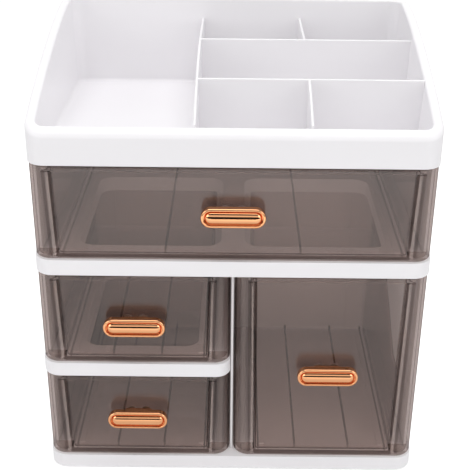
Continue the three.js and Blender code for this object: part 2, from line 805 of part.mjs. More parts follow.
function drawerSolid(drawer) {
  const face = frontInset;
  const low = drawer.bayBottom + frontGap;
  const high = drawer.bayTop - frontGap;
  const frontBack = panelFront - frontToPanelGap;
  const shellShape = (inset, back) => {
    const radius = frontRadius - inset;
    return planShape(drawer.x0 + inset, drawer.x1 - inset, face + inset, back, radius, radius, 0, 0);
  };
  const past = frontBack + frontRadius; // keeps the front's corners whole until it is cut back
  const behind = block(drawer.x0, drawer.x1, frontBack, past + overrun, low - overrun, high + overrun);
  const full = softPrism(shellShape(0, past), low, high, frontEdgeRadius).subtract(behind);
  const hollow = prism(shellShape(frontWall, past), low + frontWall, high - frontWall);
  const shell = cut(full, pocketSolid(drawer, 0), hollow.subtract(pocketSolid(drawer, frontWall)));
  const panelBack = face + pocketDepth + frontWall;
  const boxBottom = drawer.bayBottom + runnerHeight + seatGap;
  const boxTop = drawer.bayTop - boxTopGap;
  const boxBack = backFace - stripThickness - seatGap - boxBackGap;
  const outer = boxSolid(drawer, 0, panelBack - frontWall / 2, boxBack, boxBottom, boxTop);
  const inner = boxSolid(
    drawer, boxWall, panelBack, boxBack - boxWall, boxBottom + boxWall, boxTop + overrun / 2,
  );
  let made = shell.add(outer).subtract(inner);
  const middle = (drawer.x0 + drawer.x1) / 2;
  [-1, 1].forEach((side) => {
    const x = middle + (side * drawer.ribSpacing) / 2;
    const floor = boxBottom + boxWall;
    made = made.add(
      block(
        x - floorRibWidth / 2, x + floorRibWidth / 2, floorRibStart, boxBack - floorRibEndMargin,
        floor - floorRibHeight, floor + floorRibHeight,
      ),
    );
    const hole = screwShankRadius + screwHoleClearance;
    const x1 = middle + (side * screwSpacing) / 2;
    made = made.subtract(rod(hole, x1, knobLine(drawer), face, panelBack + overrun));
  });
  if (drawer.slopedSides) made = made.subtract(sideCuts(drawer, boxBack, boxTop));
  return made;
}

// The tall drawer's side walls fall from the back's full height towards the front.
function sideCuts(drawer, boxBack, boxTop) {
  const z = drawer.bayBottom + tallSideFrontHeight;
  const start = panelFront;
  const end = boxBack - boxBackRadius;
  const above = boxTop + overrun;
  const profile = [[start, z], [tallSideFrontRun, z], [end, boxTop], [end, above], [start, above]];
  const reach = boxMargin + boxDraft + boxWall + overrun;
  return sideProfile(profile, drawer.x0, drawer.x0 + reach).add(
    sideProfile(profile, drawer.x1 - reach, drawer.x1),
  );
}

// Stadium outline centred on the origin.
function stadium(width, height) {
  const radius = height / 2;
  const straight = width / 2 - radius;
  const shape = new THREE.Shape();
  shape.moveTo(-straight, -radius);
  shape.lineTo(straight, -radius);
  shape.absarc(straight, 0, radius, -Math.PI / 2, Math.PI / 2);
  shape.lineTo(-straight, radius);
  shape.absarc(-straight, 0, radius, Math.PI / 2, Math.PI * 1.5);
  return shape;
}

// Knob, made facing +Z and turned to face -Y: a rounded pill with a raised bar in a sunk field,
// on a tapered stem with two blind holes.
function knob(drawer) {
  const rimFront = knobThickness - knobBarProud;
  const pill = new THREE.ExtrudeGeometry(stadium(knobWidth - 2 * knobBevel, knobHeight - 2 * knobBevel), {
    depth: rimFront - 2 * knobBevel, bevelEnabled: true, bevelThickness: knobBevel, bevelSize: knobBevel,
    bevelSegments: 3, curveSegments: 6,
  });
  pill.translate(0, 0, knobBevel);
  const fieldWidth = knobWidth - 2 * knobRim;
  const fieldHeight = knobHeight - 2 * knobRim;
  const field = prism(stadium(fieldWidth, fieldHeight), rimFront - knobPocketDepth, rimFront + overrun, 6);
  const barRadius = fieldHeight / 2 - knobGroove;
  const bar = new THREE.CapsuleGeometry(barRadius, fieldWidth - 2 * knobGroove - 2 * barRadius, 4, 12);
  bar.rotateZ(Math.PI / 2);
  const barRise = knobPocketDepth + knobBarProud;
  bar.scale(1, 1, barRise / barRadius);
  bar.translate(0, 0, rimFront - knobPocketDepth);
  const stemRoot = -knobStandoff + seatGap;
  const stemRadii = [stemCornerRadius, stemCornerRadius, stemCornerRadius, stemCornerRadius];
  const neck = (z, width) =>
    roundedPairs(-width / 2, width / 2, -stemHeight / 2, stemHeight / 2, stemRadii, 2).map(
      ([x, y]) => new THREE.Vector3(x, y, z),
    );
  const stem = loft([neck(stemRoot, stemRootWidth), neck(knobBevel, stemWidth)]);
  let made = joined(solid(pill).subtract(field), solid(bar), stem);
  [-1, 1].forEach((side) => {
    const hole = new THREE.CylinderGeometry(
      screwShankRadius + screwHoleClearance, screwShankRadius + screwHoleClearance, screwLength, 12,
    );
    hole.rotateX(Math.PI / 2);
    hole.translate((side * screwSpacing) / 2, 0, stemRoot - overrun + screwLength / 2);
    made = made.subtract(solid(hole));
  });
  const geometry = geometryOf(made);
  geometry.rotateX(Math.PI / 2);
  const y = frontInset + pocketDepth - knobStandoff;
  geometry.translate((drawer.x0 + drawer.x1) / 2, y, knobLine(drawer));
  return geometry;
}

// Pan-head screw with a cross recess, its head against the inner face of the drawer front.
function screw(drawer, side) {
  const y = frontInset + pocketDepth + frontWall + seatGap;
  const edge = screwHeadHeight / 4;
  const [domeRadius, domeHeight] = screwDomeShares;
  const profile = [
    [0, -screwLength], [screwShankRadius / 2, -screwLength],
    [screwShankRadius, -screwLength + screwShankRadius],
    [screwShankRadius, 0], [screwHeadRadius, 0], [screwHeadRadius, edge],
    [screwHeadRadius * domeRadius, screwHeadHeight * domeHeight], [screwHeadRadius / 2, screwHeadHeight],
    [0, screwHeadHeight],
  ];
  const turned = solid(new THREE.LatheGeometry(profile.map(([r, h]) => new THREE.Vector2(r, h)), 12));
  const half = screwRecessWidth / 2;
  const reach = screwRecessLength / 2;
  const floor = screwHeadHeight - screwRecessDepth;
  const roof = screwHeadHeight + overrun;
  const made = cut(
    turned, block(-half, half, floor, roof, -reach, reach), block(-reach, reach, floor, roof, -half, half),
  );
  const geometry = geometryOf(made);
  const x = (drawer.x0 + drawer.x1) / 2 + (side * screwSpacing) / 2;
  geometry.translate(x, y, knobLine(drawer));
  return geometry;
}

const whitePlastic = { color: "#ece9ee", roughness: 0.28, metalness: 0 };
const smokyPlastic = { color: "#6f6460", roughness: 0.12, metalness: 0, transparent: true, opacity: 0.6 };
const roseGold = { color: "#e39a6c", roughness: 0.15, metalness: 1 };
const steel = { color: "#c9c9cc", roughness: 0.3, metalness: 1 };
const rubber = { color: "#d8d6d8", roughness: 0.8, metalness: 0 };

const organizer = new THREE.Group();
const standing = new THREE.Group(); // the body's front plane is y = 0 in here
const knobFront = knobStandoff + knobThickness - pocketDepth - frontInset;
standing.position.y = -(bodyDepth - knobFront) / 2;
organizer.add(standing);

function place(name, geometry, finish) {
  const mesh = new THREE.Mesh(geometry, new THREE.MeshStandardMaterial(finish));
  mesh.name = name;
  standing.add(mesh);
}

const lowerPanelBottom = baseTop - troughDepth + seatGap;
const lowerPanelTop = mainShelfBottom + troughDepth - seatGap;
const upperPanelBottom = mainShelfTop - troughDepth + seatGap;
const upperPanelTop = trayBottom + panelOverlapInTray;
const lowerStrip = [baseTop + seatGap, mainShelfBottom - seatGap];
const upperStrip = [mainShelfTop + seatGap, trayBottom - seatGap];

const lowerSpan = [lowerPanelBottom, lowerPanelTop];
const upperSpan = [upperPanelBottom, upperPanelTop];
place("base_panel", geometryOf(basePanel()), whitePlastic);
footPlaces.forEach(([name, side, y]) => place(name, geometryOf(foot(side, y)), rubber));
place("lower_left_side", geometryOf(sidePanel(-1, lowerSpan, lowerStrip, true)), whitePlastic);
place("lower_right_side", geometryOf(sidePanel(1, lowerSpan, lowerStrip, false)), whitePlastic);
place("lower_back_panel", geometryOf(backPanel(lowerSpan)), whitePlastic);
place("partition", geometryOf(partition()), whitePlastic);
place("small_shelf", geometryOf(smallShelf()), whitePlastic);
place("main_shelf", geometryOf(mainShelf()), whitePlastic);
place("upper_left_side", geometryOf(sidePanel(-1, upperSpan, upperStrip, false)), whitePlastic);
place("upper_right_side", geometryOf(sidePanel(1, upperSpan, upperStrip, false)), whitePlastic);
place("upper_back_panel", geometryOf(backPanel(upperSpan)), whitePlastic);
place("top_tray", geometryOf(topTray()), whitePlastic);

Object.entries(drawers).forEach(([name, drawer]) => {
  place(name, geometryOf(drawerSolid(drawer)), smokyPlastic);
  place(name + "_knob", knob(drawer), roseGold);
  place(name + "_screw_left", screw(drawer, -1), steel);
  place(name + "_screw_right", screw(drawer, 1), steel);
});

export default organizer;
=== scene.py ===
# Desktop organizer with smoky see-through drawers, dressed for a product picture.
import json
import math
from functools import partialmethod

import bmesh
import bpy
from mathutils import Matrix, Vector


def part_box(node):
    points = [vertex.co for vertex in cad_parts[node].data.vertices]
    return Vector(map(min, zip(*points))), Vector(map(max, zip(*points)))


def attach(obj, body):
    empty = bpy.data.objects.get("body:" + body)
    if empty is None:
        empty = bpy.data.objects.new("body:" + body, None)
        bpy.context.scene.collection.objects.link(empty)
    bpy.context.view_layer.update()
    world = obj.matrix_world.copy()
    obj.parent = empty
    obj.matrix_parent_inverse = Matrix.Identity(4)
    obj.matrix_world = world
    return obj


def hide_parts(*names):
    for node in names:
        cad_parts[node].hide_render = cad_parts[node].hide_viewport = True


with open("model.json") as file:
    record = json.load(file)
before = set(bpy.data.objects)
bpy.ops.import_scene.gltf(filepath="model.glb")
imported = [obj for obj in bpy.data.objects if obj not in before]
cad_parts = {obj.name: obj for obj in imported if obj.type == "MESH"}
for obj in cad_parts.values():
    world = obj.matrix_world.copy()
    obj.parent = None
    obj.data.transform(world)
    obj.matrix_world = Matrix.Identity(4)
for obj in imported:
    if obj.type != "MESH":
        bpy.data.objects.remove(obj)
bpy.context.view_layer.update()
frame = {"nodes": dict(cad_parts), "record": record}
print("frame loaded:", len(frame["nodes"]), "nodes")


class Look(dict):
    # a dictionary whose values are also read as look.name
    __getattr__ = dict.__getitem__


# Camera, first of all
cameraSetup = Look(
    place=(0.001, -0.7264, 0.5128), pitchDown=25.71, turn=-0.03, roll=0.61, lens=74.44, sensor=36.0,
    nearest=0.01,
)


def addCamera(setup):
    camera = bpy.data.objects.new("camera", bpy.data.cameras.new("camera"))
    bpy.context.scene.collection.objects.link(camera)
    turned = (
        Matrix.Rotation(math.radians(setup.turn), 4, "Z")
        @ Matrix.Rotation(math.radians(90 - setup.pitchDown), 4, "X")
        @ Matrix.Rotation(math.radians(setup.roll), 4, "Z")
    )
    camera.matrix_world = Matrix.Translation(setup.place) @ turned
    camera.data.lens = setup.lens
    camera.data.sensor_width = setup.sensor
    camera.data.clip_start = setup.nearest
    bpy.context.scene.camera = camera


addCamera(cameraSetup)
print("camera placed")


# A socket that can be written in sums
class Value:
    def __init__(self, finish, socket):
        self.finish = finish
        self.socket = socket

    def mathWith(self, operation, other, swapped=False, clamp=False):
        first, second = (other, self) if swapped else (self, other)
        node = self.finish.make("Math", {0: first, 1: second}, operation=operation, use_clamp=clamp)
        return Value(self.finish, node.outputs[0])

    __add__ = __radd__ = partialmethod(mathWith, "ADD")
    __sub__ = partialmethod(mathWith, "SUBTRACT")
    __rsub__ = partialmethod(mathWith, "SUBTRACT", swapped=True)
    __mul__ = partialmethod(mathWith, "MULTIPLY")
    __truediv__ = partialmethod(mathWith, "DIVIDE")
    least = partialmethod(mathWith, "MINIMUM")
    most = partialmethod(mathWith, "MAXIMUM")
    held = partialmethod(mathWith, "ADD", 0.0, clamp=True)        # kept between 0 and 1

    def band(self, centre, half, soft):
        # 1 close to a centre, fading to 0 beyond a half width
        away = (self - centre).mathWith("ABSOLUTE", 0.0)
        return (1.0 - (away - half) / soft).held()

    def over(self, edge, soft):
        # 0 below an edge, 1 above it
        return ((self - edge) / soft + 0.5).held()


# The node tree of a material or of the world, with one way to add any node
class Finish:
    def __init__(self, name, world=None):
        self.owner = world or bpy.data.materials.new(name)
        self.owner.use_nodes = True
        self.tree = self.owner.node_tree
        self.tree.nodes.clear()

    def make(self, kind, sockets=None, **settings):
        # its settings first, then the values or links of its sockets
        node = self.tree.nodes.new("ShaderNode" + kind)
        for key, setting in settings.items():
            setattr(node, key, setting)
        for key, source in (sockets or {}).items():
            if isinstance(source, Value):
                source = source.socket
            elif isinstance(source, bpy.types.Node):
                source = source.outputs[0]
            if isinstance(source, bpy.types.NodeSocket):
                self.tree.links.new(source, node.inputs[key])
            else:
                node.inputs[key].default_value = source
        return node

    def value(self, node, output=0):
        return Value(self, node.outputs[output])

    def read(self, kind, sockets=None, output=0):
        return self.value(self.make(kind, sockets), output)

    def numbers(self, vector):
        split = self.make("SeparateXYZ", {0: vector})
        return [self.value(split, i) for i in range(3)]

    def attribute(self, name):
        return self.numbers(self.make("Attribute", attribute_name=name).outputs["Vector"])

    def objectPlace(self):
        return self.make("TexCoord").outputs["Object"]

    def noise(self, scale, detail):
        return self.read("TexNoise", {"Vector": self.objectPlace(), "Scale": scale, "Detail": detail})

    def blend(self, factor, first, second):
        settings = {"data_type": "RGBA", "blend_type": "MIX", "clamp_factor": True}
        return self.make("Mix", {0: factor, 6: first, 7: second}, **settings).outputs[2]

    def bump(self, height, strength, distance):
        return self.make("Bump", {"Strength": strength, "Distance": distance, "Height": height})

    def mixed(self, share, first, second):
        return self.make("MixShader", {0: share, 1: first, 2: second})

    def output(self, shader):
        self.make("OutputMaterial", {"Surface": shader})
        return self.owner


def rgb(red, green, blue):
    return (red, green, blue, 1.0)


# Solid finishes: a faint unevenness of colour, sheen and surface, as moulding or plating leaves it.
# A noise is its scale and detail, and serves the next ones too; a bump is strength and distance.
solidLooks = {
    "white_plastic": Look(
        name="white moulded plastic", shade=rgb(0.86, 0.845, 0.865), pale=rgb(0.90, 0.885, 0.905),
        toneNoise=(9.0, 3.0), roughness=0.325, uneven=0.06, bump=(0.05, 0.0002), bumpNoise=(900.0, 2.0),
        fixed={"IOR": 1.49},
    ),
    "rose_plating": Look(
        name="rose gold plating", shade=rgb(0.82, 0.39, 0.19), pale=rgb(0.88, 0.45, 0.23),
        toneNoise=(60.0, 2.0), roughness=0.09, uneven=0.04, roughNoise=(1400.0, 2.0),
        bump=(0.03, 0.0001), fixed={"Metallic": 1.0},
    ),
    "screw_steel": Look(
        name="screw steel", shade=rgb(0.52, 0.5, 0.5), pale=rgb(0.68, 0.66, 0.65),
        toneNoise=(700.0, 3.0), roughness=0.295, uneven=0.15, fixed={"Metallic": 1.0},
    ),
    "foot_rubber": Look(
        name="foot rubber", shade=rgb(0.55, 0.54, 0.56), pale=rgb(0.66, 0.65, 0.67),
        toneNoise=(500.0, 3.0), roughness=0.825, uneven=0.15, bump=(0.15, 0.0003), fixed={},
    ),
}


def solidFinish(look):
    finish = Finish(look.name)
    sockets = dict(look.fixed)
    tone = finish.noise(*look.toneNoise)
    rough = finish.noise(*look.roughNoise) if "roughNoise" in look else tone
    sockets["Base Color"] = finish.blend(tone, look.shade, look.pale)
    sockets["Roughness"] = look.roughness + (rough - 0.5) * look.uneven
    if "bump" in look:
        relief = finish.noise(*look.bumpNoise) if "bumpNoise" in look else rough
        sockets["Normal"] = finish.bump(relief, *look.bump)
    return finish.output(finish.make("BsdfPrincipled", sockets))


# Smoky see-through plastic: thin clear walls that darken where they are seen edge on, with painted
# shade along the folds, edges and ribs of a drawer and painted highlight lines on its recess slopes
# and front corners, a little milkiness in the body, and a clear gloss that grows towards the edges.
# Each drawer carries its distances from its folds, its outer edges and its ribs as attributes.
smokyLook = Look(
    clearTint=rgb(0.93, 0.88, 0.862), edgeTint=rgb(0.30, 0.245, 0.23), openTint=rgb(0.97, 0.955, 0.945),
    edgeReach=0.15, steepReach=0.5, body=rgb(0.50, 0.41, 0.37), bodyRoughness=0.35, bodyShare=0.02,
    cloud=(14.0, 2.0), uneven=0.01, gloss=0.02, glossUneven=0.02, ior=1.42, mirrorLimit=0.22,
    # painted shade over the front's end columns
    columnShare=0.3,
    # painted lines: those along the folds, lip, shoulder, slope, edges, ribs and box foot are painted shade;
    # the glint and the corner line are painted highlights
    lines=dict(        # centre, half width, softness and share
        fold=(0.0, 0.0008, 0.0006, 0.74),
        lip=(0.0, 0.0006, 0.0005, 0.74),
        shoulder=(0.0, 0.0005, 0.0004, 0.75),
        slopeShade=(-0.0045, 0.0009, 0.0007, 0.45),
        outerEdge=(-0.0163, 0.0016, 0.0012, 0.85),
        bottomEdge=(-0.0028, 0.0005, 0.0005, 0.6),
        topEdge=(-0.0042, 0.0005, 0.0005, 0.6),
        glint=(-0.0022, 0.0002, 0.0006, 0.3),
        cornerPale=(-0.0088, 0.0012, 0.0014, 0.1),
        rib=(0.0, 0.0006, 0.0004, 0.7),
        boxFoot=(0.0002, 0.0006, 0.0006, 0.7),
        floorFold=(0.0042, 0.0005, 0.0005, 0.6),
    ),
    limits=dict(        # place and softness
        front=(0.0075, 0.0004), recess=(-0.0004, 0.0006), slope=(0.0003, 0.0004), panel=(0.0, 0.0008),
        margin=(-0.0056, 0.0006), column=(-0.0052, 0.0006), floor=(0.0022, 0.001), ribEnd=(0.0, 0.0004),
        glintTop=(0.005, 0.006),
    ),
)


def paintedFoldShadeAndHighlight(finish, look):
    # painted shade and painted highlights of a drawer along its folds, edges and ribs
    def line(name, distance):
        centre, half, soft, share = look.lines[name]
        return distance.band(centre, half, soft) * share

    def past(name, distance):
        return distance.over(*look.limits[name])

    leftFold, rightFold, _ = finish.attribute("recessSides")
    foot, head, depth = finish.attribute("recessEnds")
    leftWall, rightWall, overFloor = finish.attribute("boxFloor")
    leftRib, rightRib, ribDepth = finish.attribute("floorRibs")
    side, wall = leftFold.least(rightFold), leftWall.least(rightWall)
    inFront = 1.0 - past("front", depth)
    within = past("recess", foot.least(head)) * inFront
    # painted shade along the recess folds, its lip, shoulder and slope, the front's end columns and its top,
    # bottom and outer edges
    dark = (line("fold", side) * within).most(line("lip", foot) * past("panel", side) * inFront)
    dark = dark.most(line("shoulder", head) * (1.0 - past("slope", side)) * past("margin", side) * inFront)
    dark = dark.most(line("slopeShade", side) * within)
    dark = dark.most((1.0 - past("column", side)) * inFront * look.columnShare)
    dark = dark.most(line("bottomEdge", foot).most(line("topEdge", head)) * inFront)
    dark = dark.most(line("outerEdge", wall))
    # painted shade in the box: its foot along either side, and the floor's ribs
    low = (1.0 - past("floor", overFloor)) * (1.0 - inFront)
    ribs = line("rib", leftRib).most(line("rib", rightRib)) * past("ribEnd", ribDepth)
    dark = dark.most(ribs.most(line("boxFoot", wall)).most(line("floorFold", wall)) * low)
    # painted highlights: a thin pale line on each recess slope and a pale zone in the front's rounded corners
    pale = line("glint", side) * within * past("glintTop", head)
    return dark, pale.most(line("cornerPale", side) * inFront)


def smokyPlastic(look):
    finish = Finish("smoky plastic")
    cloud = finish.noise(*look.cloud)
    # painted shade and painted highlights along the folds, edges and ribs
    dark, pale = paintedFoldShadeAndHighlight(finish, look)
    tints = (look.clearTint, look.edgeTint, look.openTint)
    clear, deep, thin = (finish.make("BsdfTransparent", {"Color": tint}) for tint in tints)
    edgeOn = finish.read("LayerWeight", {"Blend": look.edgeReach}, 1)
    # deep tint where walls are seen edge on, and as painted shade along the folds and edges
    tinted = finish.mixed(edgeOn.most(dark), clear, deep)
    body = finish.make(
        "BsdfPrincipled",
        {"Base Color": look.body, "Roughness": look.bodyRoughness, "Specular IOR Level": 0.0},
    )
    # milkiness of the body, raised into painted highlight lines
    milkinessAndPaintedHighlight = look.bodyShare + (cloud - 0.5) * look.uneven + pale
    veil = finish.mixed(milkinessAndPaintedHighlight * (1.0 - dark), tinted, body)
    gloss = look.gloss + cloud * look.glossUneven
    mirror = finish.make("BsdfPrincipled", {"Base Color": rgb(1, 1, 1), "Metallic": 1.0, "Roughness": gloss})
    # the same share of light turns back on the way in and on the way out
    behind = finish.read("NewGeometry", output="Backfacing")
    index = behind * (1 / look.ior - look.ior) + look.ior
    share = finish.read("Fresnel", {"IOR": index}).least(look.mirrorLimit)
    # the painted shade also dims the gloss along the folds and edges
    full = finish.mixed(share * (1.0 - dark), veil, mirror)
    # light on its way to what the drawer holds passes almost unweakened, steep light less so
    path = finish.make("LightPath")
    shadow = finish.value(path, "Is Shadow Ray")
    lighting = shadow.most(finish.value(path, "Is Diffuse Ray"))
    steep = finish.read("LayerWeight", {"Blend": look.steepReach}, 1)
    passed = finish.mixed(steep * shadow, thin, deep)
    return finish.output(finish.mixed(lighting, full, passed))


finishes = {slot: solidFinish(look) for slot, look in solidLooks.items()}
finishes["smoky_plastic"] = smokyPlastic(smokyLook)
print("finishes made")

slotOfNode = {part["node"]: part["material_slot"] for part in frame["record"]["subparts"]}
bodyOfNode = {
    node: body for body, members in frame["record"]["behaviour"]["bodies"].items() for node in members
}
for name, node in frame["nodes"].items():
    node.data.materials.clear()
    node.data.materials.append(finishes[slotOfNode[name]])


# Ways of modelling that every piece uses
def deselect():
    bpy.ops.object.select_all(action="DESELECT")


def activate(piece):
    deselect()
    piece.select_set(True)
    bpy.context.view_layer.objects.active = piece


def settle(name):
    # the piece just added gets its name, and its place goes into its mesh
    bpy.ops.object.transform_apply(location=True, rotation=True, scale=True)
    piece = bpy.context.active_object
    piece.name = name
    piece.data.name = name
    return piece


def addBlock(name, x, y, z):
    # a block between two places along each axis, in either order
    spans = [sorted(span) for span in (x, y, z)]
    deselect()
    middle = [(a + b) / 2 for a, b in spans]
    bpy.ops.mesh.primitive_cube_add(size=1, location=middle, scale=[b - a for a, b in spans])
    return settle(name)


def addPost(name, radius, x, y, z, sides=48):
    # a round bar along Y or Z, whichever is given as two places
    spans = [place if isinstance(place, tuple) else (place, place) for place in (x, y, z)]
    deselect()
    bpy.ops.mesh.primitive_cylinder_add(
        vertices=sides, radius=radius, depth=max(abs(b - a) for a, b in spans),
        location=[(a + b) / 2 for a, b in spans],
        rotation=(math.pi / 2 if isinstance(y, tuple) else 0, 0, 0),
    )
    return settle(name)


def copyTo(piece, name, place):
    # a copy with a mesh of its own
    activate(piece)
    bpy.ops.object.duplicate(linked=False)
    bpy.context.active_object.location = place
    return settle(name)


def edit(piece):
    activate(piece)
    bpy.ops.object.mode_set(mode="EDIT")


def doneEditing():
    bpy.ops.object.mode_set(mode="OBJECT")


def near(a, b, reach=1e-5):
    return abs(a - b) < reach


def at(axis, place):
    # a test: do all these points lie at a place on an axis
    return lambda *points: all(near(getattr(point, axis), place) for point in points)


def faceAt(axis, place):
    return lambda face: at(axis, place)(*(vert.co for vert in face.verts))


# These work in edit mode
def pick(piece, kind, test):
    # leaves selected only what passes the test
    bpy.context.tool_settings.mesh_select_mode = (kind == "verts", kind == "edges", kind == "faces")
    bpy.ops.mesh.select_all(action="DESELECT")
    mesh = bmesh.from_edit_mesh(piece.data)
    chosen = [element for element in getattr(mesh, kind) if test(element)]
    for element in chosen:
        element.select_set(True)
    bmesh.update_edit_mesh(piece.data)
    return len(chosen)


def roundEdges(piece, radius, segments, test):
    # rounds the edges whose two ends pass the test
    if radius > 0 and pick(piece, "edges", lambda edge: test(edge.verts[0].co, edge.verts[1].co)):
        bpy.ops.mesh.bevel(offset=radius, segments=segments, profile=0.5, affect="EDGES")


def moveVerts(piece, test, place):
    # sets the place of the points that pass the test
    mesh = bmesh.from_edit_mesh(piece.data)
    for vert in mesh.verts:
        if test(vert.co):
            vert.co = place(vert.co)
    bmesh.update_edit_mesh(piece.data)


def drawIn(piece, test, middle, distance):
    # moves the points that pass the test towards a middle, along X
    moveVerts(piece, test, lambda p: Vector((p.x + (distance if p.x < middle else -distance), p.y, p.z)))


def inset(width, depth=0):
    bpy.ops.mesh.inset(thickness=width, depth=depth)


def pull(*move):
    bpy.ops.mesh.extrude_region_move(TRANSFORM_OT_translate={"value": move})


def cutAcross(piece, places):
    # adds an edge all round the piece at each place along Y
    for place in places:
        bpy.ops.mesh.select_all(action="SELECT")
        bpy.ops.mesh.bisect(plane_co=(0, place, 0), plane_no=(0, 1, 0))


# These work in object mode
def planBlock(name, x, y, z, radii, segments=12):
    # a block with upright rounded corners: front left, front right, back left, back right
    piece = addBlock(name, x, y, z)
    edit(piece)
    places = [(x[0], y[0]), (x[1], y[0]), (x[0], y[1]), (x[1], y[1])]
    for (cornerX, cornerY), radius in zip(places, radii):
        roundEdges(piece, radius, segments, lambda *ends: at("x", cornerX)(*ends) and at("y", cornerY)(*ends))
    doneEditing()
    return piece


def modify(piece, kind, **settings):
    modifier = piece.modifiers.new(kind.lower(), kind)
    for key, setting in settings.items():
        setattr(modifier, key, setting)
    activate(piece)
    bpy.ops.object.modifier_apply(modifier=modifier.name)


def combine(piece, other, operation):
    modify(piece, "BOOLEAN", operation=operation, solver="EXACT", object=other)
    bpy.data.objects.remove(other, do_unlink=True)
    return piece


def carve(piece, *cutters):
    for cutter in cutters:
        combine(piece, cutter, "DIFFERENCE")
    return piece


def weld(piece, *others):
    for other in others:
        combine(piece, other, "UNION")
    return piece


edgeFinish = Look(merge=1e-6, flat=0.5, smoothPast=5, sameWay=0.99)


def finishPiece(piece, edgeRadius, segments=2, sharpest=40, flatten=True):
    # small rounding on every hard edge, then even shading
    edit(piece)
    bpy.ops.mesh.select_all(action="SELECT")
    bpy.ops.mesh.remove_doubles(threshold=edgeFinish.merge)
    if flatten:
        bpy.ops.mesh.dissolve_limited(angle_limit=math.radians(edgeFinish.flat), delimit={"NORMAL"})
    doneEditing()
    modify(
        piece, "BEVEL", width=edgeRadius, segments=segments, limit_method="ANGLE",
        angle_limit=math.radians(sharpest), use_clamp_overlap=True, miter_outer="MITER_ARC",
    )
    bpy.ops.object.shade_smooth_by_angle(angle=math.radians(sharpest + edgeFinish.smoothPast))
    modify(piece, "WEIGHTED_NORMAL", keep_sharp=True)
    return piece


def flattenFaces(piece, smallest):
    # large flat faces keep their own direction right up to their corners
    mesh = piece.data
    normals = [corner.vector.copy() for corner in mesh.corner_normals]
    for face in mesh.polygons:
        if face.area > smallest:
            for corner in face.loop_indices:
                normals[corner] = face.normal.copy()
    mesh.normals_split_custom_set(normals)


def standFor(piece, node):
    # the piece takes the node's place, body and finish
    piece.data.materials.clear()
    piece.data.materials.append(finishes[slotOfNode[node]])
    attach(piece, bodyOfNode[node])
    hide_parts(node)
    return piece


# Levels and outline that all pieces share, read from the frame
gaps = Look(seat=0.0003, slide=0.0006, front=0.0006, overrun=0.001)
seat, over = gaps.seat, gaps.overrun
bodyLow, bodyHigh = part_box("top_tray")
body = Look(
    left=bodyLow.x, right=bodyHigh.x, front=bodyLow.y, back=bodyHigh.y, frontRadius=0.014,
    backRadius=0.018, beam=0.015, skirt=0.0022, trough=0.003, panel=0.0024, plate=0.0024, rib=0.0016,
)
level = Look(
    baseBottom=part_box("base_panel")[0].z,
    baseTop=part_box("lower_small_drawer")[0].z - gaps.front,
    smallShelfBottom=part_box("small_shelf")[0].z,
    smallShelfTop=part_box("upper_small_drawer")[0].z - gaps.front,
    mainShelfBottom=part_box("main_shelf")[0].z,
    mainShelfTop=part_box("wide_drawer")[0].z - gaps.front,
    trayBottom=bodyLow.z,
)


def outlineBlock(name, inward, z, segments=12):
    # the body's rounded outline, drawn inwards
    front = max(body.frontRadius - inward, 0)
    back = max(body.backRadius - inward, 0)
    x = (body.left + inward, body.right - inward)
    y = (body.front + inward, body.back - inward)
    return planBlock(name, x, y, z, (front, front, back, back), segments)


def deepIn(depth):
    # place along Y of a depth behind the body's front face
    return body.front + depth


def middleOf(node):
    low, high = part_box(node)
    return (low + high) / 2


def facing(axis, way):
    return lambda face: getattr(face.normal, axis) * way > edgeFinish.sameWay


# Drawers: a rounded hollow front with a recess, and an open drafted box behind it
drawerLook = Look(
    faceInset=0.001, frontDepth=0.0137, frontRadius=0.013, edgeRound=0.0016, wall=0.0022,
    recessDepth=0.0032, recessMargin=0.0099, recessSlope=0.0056, recessTaper=0.0019, recessTop=0.0042,
    recessBottom=0.0026, recessTopRadius=0.003, recessBottomRadius=0.0015, boxWall=0.002,
    boxMargin=0.0135, boxDraft=0.0026, boxTopGap=0.004, boxBackDepth=0.1962, floorGap=0.0015,
    floorRadius=0.004, backRadius=0.008, innerFrontRadius=0.002, cornerShare=0.9, shortestUpright=0.01,
    ribWidth=0.0012, ribHeight=0.0008, ribStart=0.012, screwSpacing=0.0114, screwHole=0.0017,
    softEdge=0.00035, largeFace=0.0003, sideCutStart=0.0153, sideFrontHeight=0.075, sideFrontRun=0.036,
)
bays = {
    "wide_drawer": Look(low="mainShelfTop", high="trayBottom", ribSpacing=0.1),
    "upper_small_drawer": Look(low="smallShelfTop", high="mainShelfBottom", ribSpacing=0.0375),
    "lower_small_drawer": Look(low="baseTop", high="smallShelfBottom", ribSpacing=0.0375),
    "tall_drawer": Look(low="baseTop", high="mainShelfBottom", ribSpacing=0.0436, slopedSides=True),
}


def recessCutter(look, x, z, grow):
    # straight in at top and bottom, slanted at its sides, narrower at its foot
    face = deepIn(look.faceInset)
    deep = face + look.recessDepth + grow
    foot = z[0] + look.recessBottom - grow
    head = z[1] - look.recessTop + grow
    left = x[0] + look.recessMargin - grow
    right = x[1] - look.recessMargin + grow
    cutter = addBlock("recess", (left, right), (face - over, face), (foot, head))
    edit(cutter)
    pick(cutter, "faces", facing("y", 1))
    pull(0, deep - face, 0)
    drawIn(cutter, at("y", deep), (left + right) / 2, look.recessSlope)
    drawIn(cutter, at("z", foot), (left + right) / 2, look.recessTaper)
    for height, radius in ((head, look.recessTopRadius + grow), (foot, look.recessBottomRadius + grow)):
        roundEdges(cutter, radius, 6, lambda a, b: at("z", height)(a, b) and not near(a.y, b.y))
    doneEditing()
    return cutter


